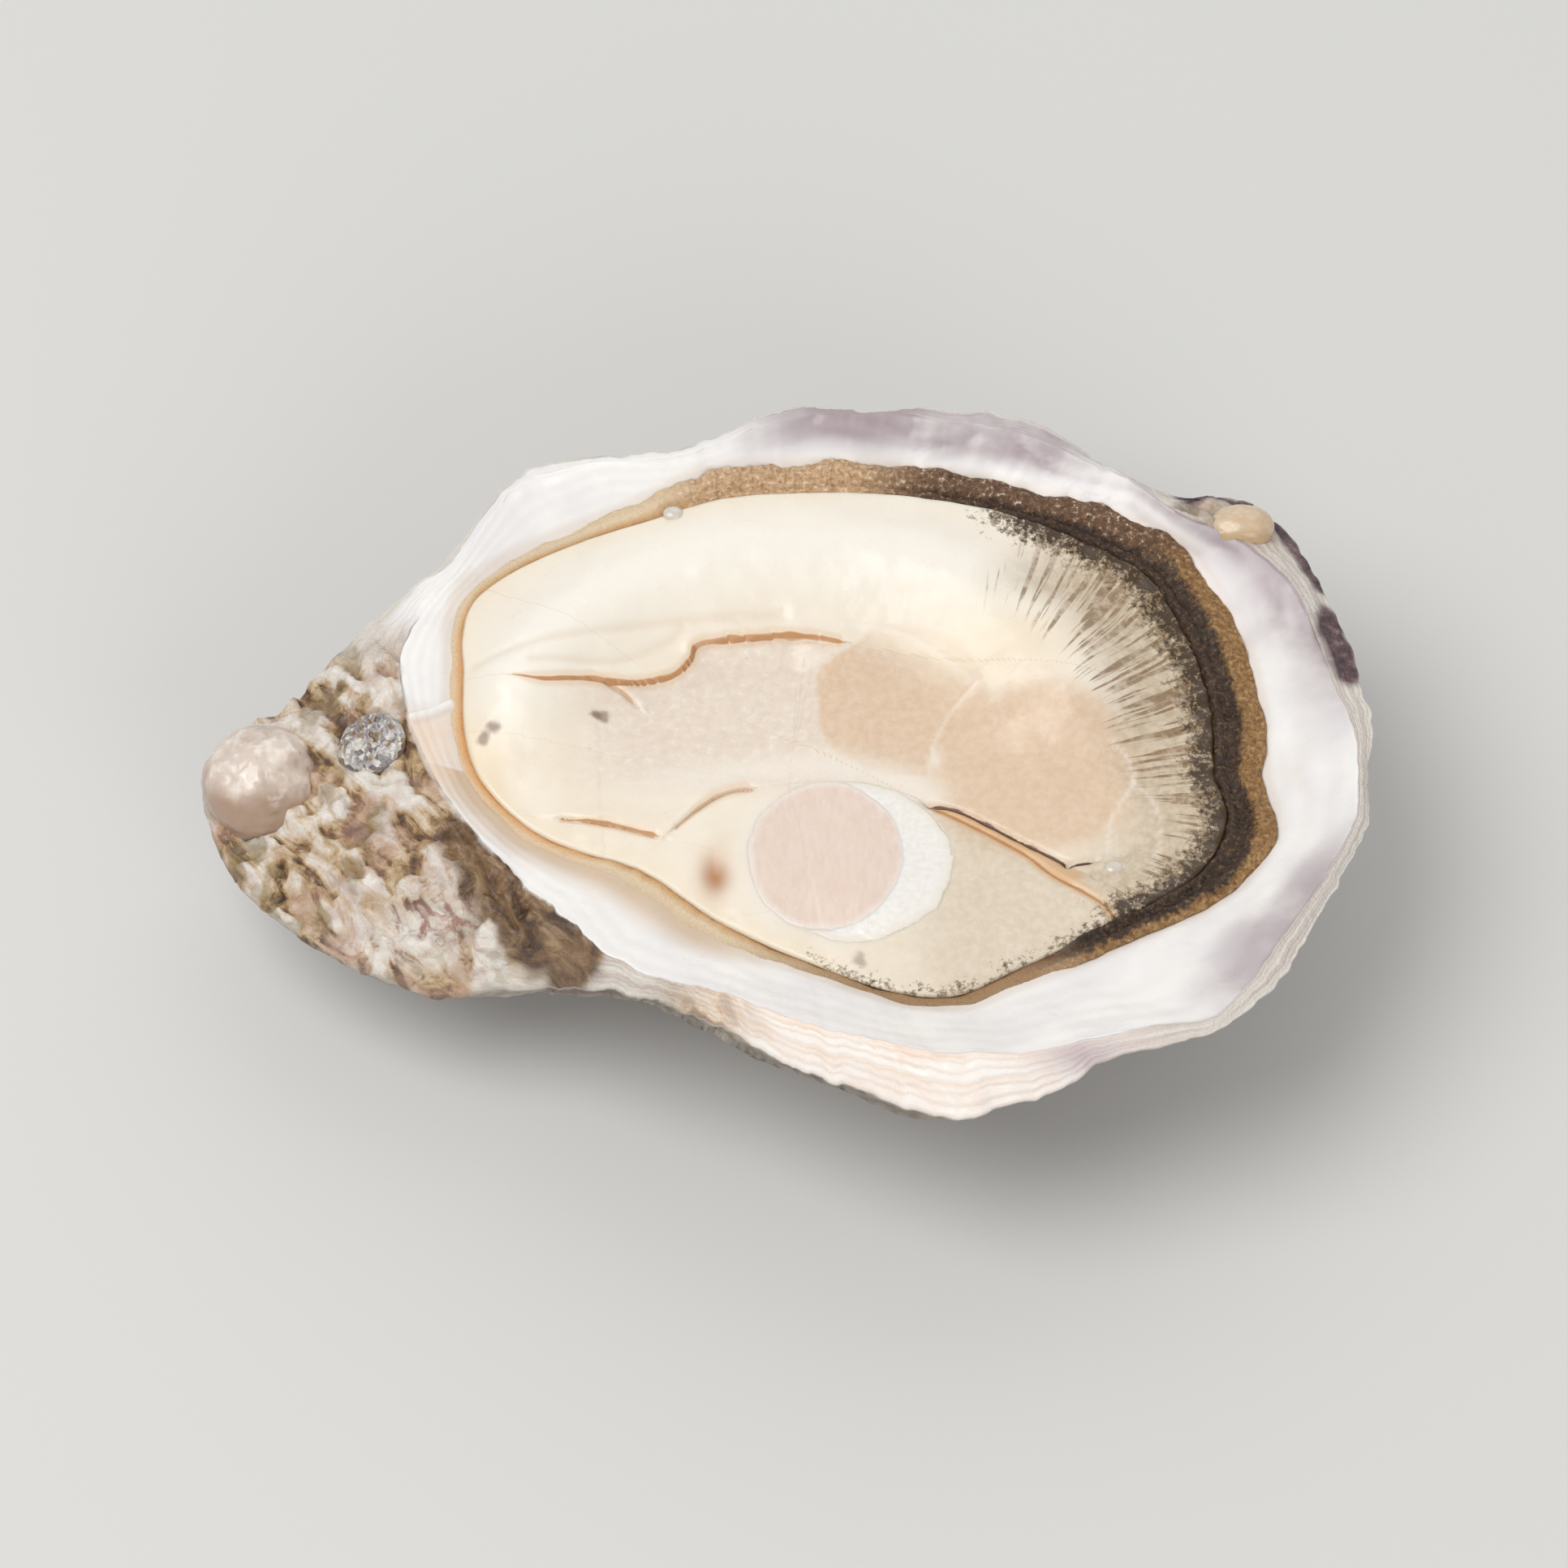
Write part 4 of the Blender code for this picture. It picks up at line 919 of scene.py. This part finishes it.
def shell_material():
    made, tree, shader = new_material("nacre and shell layers")
    broad, fine = mottle(tree, 7.0, 4.0), mottle(tree, 0.9, 4.0, 0.65)
    layer, lamella = mask_of(tree, "layer"), mask_of(tree, "lamella")
    nacre = blend(between(broad, 0.35, 0.65), (251, 249, 246), (242, 240, 240))
    # The lilac-grey is partly the nacre's tint and partly painted shade.
    lilac_and_shade = times(mask_of(tree, "lilac_and_shade"), between(broad, 0.25, 0.6, 0.5, 1.0))
    nacre = tint(
        blend(lilac_and_shade, nacre, (170, 154, 160)),
        # the tan by the fringe is partly cream and partly painted shade in the gap on the near
        # left
        ("cream_and_gap_shade", 0.9, (208, 178, 142)), ("left", 0.7, (238, 208, 178)),
        # the sliver's near-white is a painted highlight
        ("layer", 0.12, (222, 218, 220)), ("sliver_highlight", 0.9, (252, 250, 246)))
    # The broken shoulder: flakes of every tone where it is thick, paler where it is thin.
    flakes = mottle(tree, 2.9, 5.0, 0.62, place(tree, 0.9, (2.0, 0.8, 1.0)), 1.4)
    tone = plus(times(flakes, 0.75), times(fine, 0.2))
    # The raised plates get a paler tone and the crevices between them a darker one: painted shade
    # in the crevices.
    tone = plus(tone, times(mask_of(tree, "plate"), 0.17))
    crust = colours_along(tone, (0.38, 74, 52, 36), (0.44, 140, 106, 70), (0.5, 204, 172, 128),
                          (0.58, 232, 210, 184), (0.68, 252, 245, 236))
    rusty = between(mottle(tree, 4.2, 2.0), 0.48, 0.6)
    crust = blend(times(rusty, 0.45), crust, (200, 158, 142))
    mossy = between(mottle(tree, 3.6, 2.0, 0.5, place(tree, 0.0, (1.0, 1.4, 1.0))), 0.55, 0.63)
    crust = blend(times(mossy, 0.5), crust, (150, 132, 88))
    plain = blend(between(layer, 0.1, 0.8), (222, 209, 202), (246, 240, 230))
    shoulder = blend(mask_of(tree, "crust"), plain, crust)
    chalky = blend(between(flakes, 0.36, 0.5), (206, 160, 148), (255, 248, 240))
    # The flange's pale pink is set lighter than its own colour, painted light to make up for the
    # shade on this slope.
    flange = colours_along(plus(times(layer, 0.3), times(flakes, 0.7)), (0.30, 250, 230, 218),
                           (0.45, 253, 241, 231), (0.7, 255, 250, 245))
    shoulder = tint(
        shoulder, ("chalky", 0.85, chalky), ("flange", 1.0, flange),
        ("groove", 0.5, (232, 192, 150)), ("frill", 0.75, (190, 172, 178)))
    colour = tint(
        blend(mask_of(tree, "nacre"), shoulder, nacre),
        ("notch", 0.9, colours_along(
            flakes, (0.38, 136, 96, 58), (0.5, 200, 160, 114), (0.62, 240, 218, 192))),
        ("brown", 0.95, colours_along(
            flakes, (0.36, 76, 50, 30), (0.52, 136, 102, 66), (0.66, 178, 146, 106))),
        ("purple", 1.0, colours_along(
            fine, (0.35, 56, 28, 36), (0.55, 108, 78, 84), (0.7, 160, 134, 140))))
    chalk = colours_along(plus(times(layer, 0.4), times(fine, 0.6)), (0.3, 128, 112, 100),
                          (0.5, 176, 164, 150), (0.7, 206, 198, 186))
    stained = between(mottle(tree, 11.0, 3.0), 0.5, 0.66)
    chalk = blend(times(stained, 0.7), chalk, (128, 104, 104))
    chalk = tint(chalk, ("worn", 0.5, (222, 214, 202)))
    smooth = plus(mask_of(tree, "nacre"), times(mask_of(tree, "flange"), 0.8))
    stony = reckon("SUBTRACT", 1.0, smooth, True)
    gritty = times(plus(mottle(tree, 0.45, 5.0, 0.7), flakes), stony)
    rough = wet_surface(shader, blend(lamella, colour, chalk), bump(gritty, 0.7, 0.0006),
                        0.5, 0.12)
    feed(shader, {
        "Roughness": plus(rough, times(lamella, 0.42)), "Subsurface Weight": 0.1,
        "Subsurface Radius": (1.0, 0.8, 0.7), "Subsurface Scale": 0.0008,
        "Coat Weight": between(lamella, 0.0, 1.0, 0.3, 0.05), "Coat Roughness": 0.16})
    return made


def mantle_material():
    made, tree, shader = new_material("mantle flesh")
    broad, fine = mottle(tree, 5.0, 4.0), mottle(tree, 0.7, 4.0, 0.6)
    some = between(fine, 0.3, 0.7)
    colour = tint(
        blend(between(broad, 0.3, 0.7), (240, 228, 209), (244, 234, 218)),
        # the lobe's paler top is partly a painted highlight
        ("ridge", 1.0, (248, 243, 233)), ("yellow", 0.7, (240, 222, 192)),
        ("flat", 0.9, colours_along(
            fine, (0.35, 226, 210, 194), (0.6, 234, 221, 207), (0.72, 243, 235, 225))),
        ("tan", 0.9, blend(some, (219, 190, 160), (228, 203, 176))),
        ("olive", 0.85, blend(some, (186, 166, 138), (212, 196, 173))),
        ("white", 0.75, (243, 235, 224)), ("strip", 0.85, (208, 170, 126)),
        ("crease", 0.2, (214, 184, 146)))
    soft = lines_of(tree, ("torn", 0.9, 0.3), ("fold_a", 0.7, 0.25), ("fold_b", 0.9, 0.25),
                    ("lobe", 0.9, 0.5))
    colour = blend(soft, colour, (220, 176, 126))
    sharp = lines_of(tree, ("torn", 0.22, 0.9), ("fold_a", 0.17, 0.85), ("fold_b", 0.15, 0.45),
                     ("fold_c", 0.13, 0.55), ("lobe", 0.2, 0.9))
    colour = blend(sharp, colour, (194, 136, 78))
    colour = tint(colour, ("spot", 0.95, (188, 132, 86)))
    # Fine dark hairs of pigment run in from the edge, and speckles crowd beside the fringe.
    along = make(tree, "CombineXYZ", {
        0: mask_of(tree, "around"), 1: times(mask_of(tree, "depth"), 0.06)})[0]
    hair = mottle(tree, 0.62, 2.0, 0.55, along, 0.2)
    strength = mask_of(tree, "hairs")
    hair = between(plus(hair, times(strength, 0.1)), 0.575, 0.64)
    hair = times(hair, between(strength, 0.0, 0.4))
    hair = times(hair, between(mottle(tree, 1.3, 3.0, 0.7), 0.36, 0.6, 0.35, 1.0))
    colour = blend(times(hair, 0.76), colour, (126, 92, 46))
    black = plus(mask_of(tree, "black"), times(mottle(tree, 0.5, 3.0, 0.8), 2.0))
    black = plus(black, times(mottle(tree, 1.8, 2.0), 0.8))
    colour = blend(between(black, 1.85, 2.1, 0.0, 0.7), colour, (118, 96, 62))
    colour = blend(between(black, 2.12, 2.32, 0.0, 0.95), colour, (62, 42, 22))
    # A dark line along the slit and its branch: painted shade in the opening.
    dark = lines_of(tree, ("slit", 0.2, 1.0), ("branch", 0.15, 1.0))
    colour = blend(dark, colour, (96, 56, 28))
    colour = tint(colour, ("speck", 0.8, (120, 88, 70)))
    soft_flesh(shader)
    normal = bump(hair, -0.2, 0.0002, bump(fine, 0.06, 0.0003))
    wet_surface(shader, colour, normal, 0.42, 0.05)
    return made


def frill_material():
    made, tree, shader = new_material("fringe of the mantle")
    across, fine = mask_of(tree, "across"), mottle(tree, 0.42, 4.0, 0.7)
    ragged = plus(across, times(mottle(tree, 0.7, 4.0, 0.7), 0.45))
    gold = colours_along(fine, (0.3, 96, 64, 30), (0.48, 150, 108, 58), (0.6, 176, 138, 86),
                         (0.75, 216, 190, 146))
    black = colours_along(fine, (0.4, 40, 24, 12), (0.56, 70, 46, 24), (0.7, 134, 104, 66))
    banded = blend(between(ragged, 0.74, 0.9), black, gold)
    brown = colours_along(fine, (0.3, 64, 42, 26), (0.52, 118, 84, 54), (0.6, 152, 122, 94),
                          (0.67, 232, 224, 214))
    brown = tint(brown, ("golden", 0.9, colours_along(
        fine, (0.35, 184, 140, 94), (0.6, 236, 202, 162), (0.72, 250, 236, 216))))
    inky = times(mask_of(tree, "inky"), between(ragged, 0.58, 0.74, 1.0, 0.0))
    brown = blend(inky, brown, black)
    # Where the fringe is thin: an orange-brown line, then cream, then a darker tan on the nacre
    # side, which is painted shade in the gap.
    thin = colours_along(across, (0.10, 238, 220, 192), (0.22, 200, 142, 84),
                         (0.42, 224, 186, 138), (0.62, 238, 214, 182), (0.95, 230, 204, 168))
    orange = colours_along(across, (0.06, 240, 206, 164), (0.3, 226, 160, 92),
                           (0.7, 242, 210, 172))
    dusky = blend(between(across, 0.2, 0.4), (78, 54, 36), (164, 126, 86))
    colour = tint(thin, ("orange", 1.0, orange), ("speckled", 1.0, brown),
                  ("dusky", 0.9, dusky), ("banded", 1.0, banded))
    soft_flesh(shader, 0.1, 0.14)
    wet_surface(shader, colour, bump(fine, 0.7, 0.0005), 0.3, 0.2, 0.0003)
    return made


def muscle_material(name, base, paler, rim_colour, stretch):
    made, tree, shader = new_material(name)
    fibres = mottle(tree, 0.5, 4.0, 0.6, place(tree, 0.0, stretch))
    colour = blend(between(fibres, 0.3, 0.7), base, paler)
    colour = blend(between(mottle(tree, 3.0, 3.0), 0.4, 0.75, 0.0, 0.5), colour, paler)
    rim = plus(mask_of(tree, "rim"), times(fibres, 0.12))
    colour = blend(between(rim, 0.92, 1.05, 0.0, 0.8), colour, rim_colour)
    soft_flesh(shader, 0.3, 0.15)
    wet_surface(shader, colour, bump(fibres, 0.06, 0.0002), 0.4, 0.04)
    return made


def lump_material(name, base, stain_and_shade, pit):
    made, tree, shader = new_material(name)
    fine = mottle(tree, 1.1, 3.0, 0.6)
    colour = blend(between(mottle(tree, 4.0, 3.0), 0.45, 0.68, 0.0, 0.6), base, stain_and_shade)
    colour = blend(between(mask_of(tree, "marks"), -0.2, 0.4, 0.3, 0.0), colour, stain_and_shade)
    # The lower, near side takes the stain colour as painted shade.
    colour = tint(colour, ("low", 0.9, stain_and_shade))
    colour = blend(between(fine, 0.7, 0.76), colour, pit)
    wet_surface(shader, colour, bump(fine, 0.15, 0.0003), 0.4, 0.15)
    feed(shader, {"Subsurface Weight": 0.15, "Subsurface Scale": 0.001, "Coat Weight": 0.6,
                  "Coat Roughness": WET})
    return made


def horn_material():
    made, tree, shader = new_material("hinge ligament")
    cells = make(tree, "TexVoronoi", {"Vector": place(tree), "Scale": 2.1})
    tones = make(tree, "SeparateColor", {0: cells["Color"]})
    colour = blend(tones[0], (122, 114, 122), (224, 220, 216))
    colour = blend(between(tones[1], 0.66, 0.76), colour, (226, 222, 212))
    colour = blend(between(tones[2], 0.8, 0.88), colour, (150, 122, 92))
    feed(shader, {
        "Base Color": colour, "Roughness": 0.2, "Coat Weight": 0.9, "Coat Roughness": WET,
        "Normal": bump(cells["Distance"], 0.8, 0.0005)})
    return made


def glint_bead_material():
    made, tree, shader = new_material("bead of liquor with a painted glint")
    # The bead is painted milky white as a painted highlight, and lets little light through.
    feed(shader, {
        "Base Color": blend(mottle(tree, 0.6, 2.0), (236, 226, 210), (248, 244, 238)),
        "Transmission Weight": 0.3, "IOR": WATER_IOR, "Coat Weight": 1.0, "Roughness": 0.03})
    return made


# ---- putting it together ----

def dress(piece, material, slot, *nodes):
    piece.data.materials.clear()
    piece.data.materials.append(material)
    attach(piece, "root")
    if nodes:
        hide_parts(*nodes)


points, masks = shell_rows()
dress(skin("shell_valve", points, shell_masks(points, masks)), shell_material(), "shell", "shell")
knob = lump_piece("beak_knob", KNOB_CENTRE, KNOB_SIZE, 0.02)
dress(knob, lump_material("worn beak", (240, 228, 218), (168, 138, 114), (90, 72, 58)),
      "shell", "shell")
blister = lump_piece("blister_pearl", BLISTER_CENTRE, BLISTER_SIZE, 0.015, 90, 54)
dress(blister, lump_material("blister pearl", (222, 202, 174), (200, 168, 128), (240, 232, 220)),
      "shell", "shell")
dress(meat_piece(), mantle_material(), "mantle", "mantle")
dress(fringe_piece(), frill_material(), "fringe", "mantle_fringe")
white = disc_piece("white_muscle", WHITE_MUSCLE, white_top, MUSCLE_BOTTOM)
dress(white, muscle_material("white muscle", (236, 232, 226), (246, 243, 238), (240, 228, 212),
                             (1.0, 1.0, 1.0)), "white_muscle", "catch_muscle")
pink = disc_piece("pink_muscle", PINK_MUSCLE, pink_top, MUSCLE_BOTTOM)
dress(pink, muscle_material("pink muscle", (229, 208, 194), (235, 217, 204), (243, 232, 224),
                            (1.0, 3.0, 1.0)), "pink_muscle", "adductor_muscle")
ligament = disc_piece("hinge_ligament", LIGAMENT, ligament_top, LIGAMENT_BOTTOM, 120, 30)
dress(ligament, horn_material(), "ligament", "ligament")
liquor = glint_bead_material()
for name, *bead in DROPLETS:
    dress(droplet(name, *bead), liquor, "mantle")


# ---- floor, light and camera, in metres ----

FLOOR_SIZE = 3.0
FLOOR_TONE = (0.64, 0.64, 0.63, 1)
WARM_WHITE = (1.0, 0.99, 0.97)
WORLD_TONE = (1.0, 0.99, 0.975, 1)
WORLD_STRENGTH = 0.46
LIGHTS_AIM = Vector((0, 0, 0.015))
CAMERA_AIM = Vector((0, 0, 0.017))
CAMERA_ELEVATION = math.radians(55.0)
CAMERA_DISTANCE = 0.8
CAMERA_LENS = 215.0


def floor():
    bpy.ops.mesh.primitive_plane_add(size=FLOOR_SIZE)
    plane = bpy.context.object
    plane.name = "pale_floor"
    made, _, shader = new_material("pale floor")
    shader.inputs["Base Color"].default_value = FLOOR_TONE
    shader.inputs["Roughness"].default_value = 0.7
    plane.data.materials.append(made)


def aimed(name, data, location, target):
    """A light or a camera in its place, looking at a point."""
    holder = bpy.data.objects.new(name, data)
    bpy.context.scene.collection.objects.link(holder)
    holder.location = location
    holder.rotation_euler = (target - holder.location).to_track_quat("-Z", "Y").to_euler()
    return holder


def area_light(name, location, size, watts, colour=(1, 1, 1)):
    light = bpy.data.lights.new(name, "AREA")
    light.shape = "DISK"
    light.size = size
    light.energy = watts
    light.color = colour
    aimed(name, light, location, LIGHTS_AIM)


floor()
area_light("key", (-0.42, -0.12, 0.85), 0.75, 5.3, WARM_WHITE)
area_light("back", (0.2, 0.8, 0.6), 1.1, 2.2)
area_light("front", (0.35, -0.8, 0.42), 0.6, 2.4)
world = bpy.data.worlds.new("soft white room")
world.use_nodes = True
world.node_tree.nodes["Background"].inputs["Color"].default_value = WORLD_TONE
world.node_tree.nodes["Background"].inputs["Strength"].default_value = WORLD_STRENGTH
bpy.context.scene.world = world
bpy.context.scene.view_settings.view_transform = "Standard"
eye = bpy.data.cameras.new("camera")
eye.lens = CAMERA_LENS
towards = Vector((0, -math.cos(CAMERA_ELEVATION), math.sin(CAMERA_ELEVATION)))
bpy.context.scene.camera = aimed("camera", eye, CAMERA_AIM + CAMERA_DISTANCE * towards, CAMERA_AIM)

bpy.context.view_layer.update()
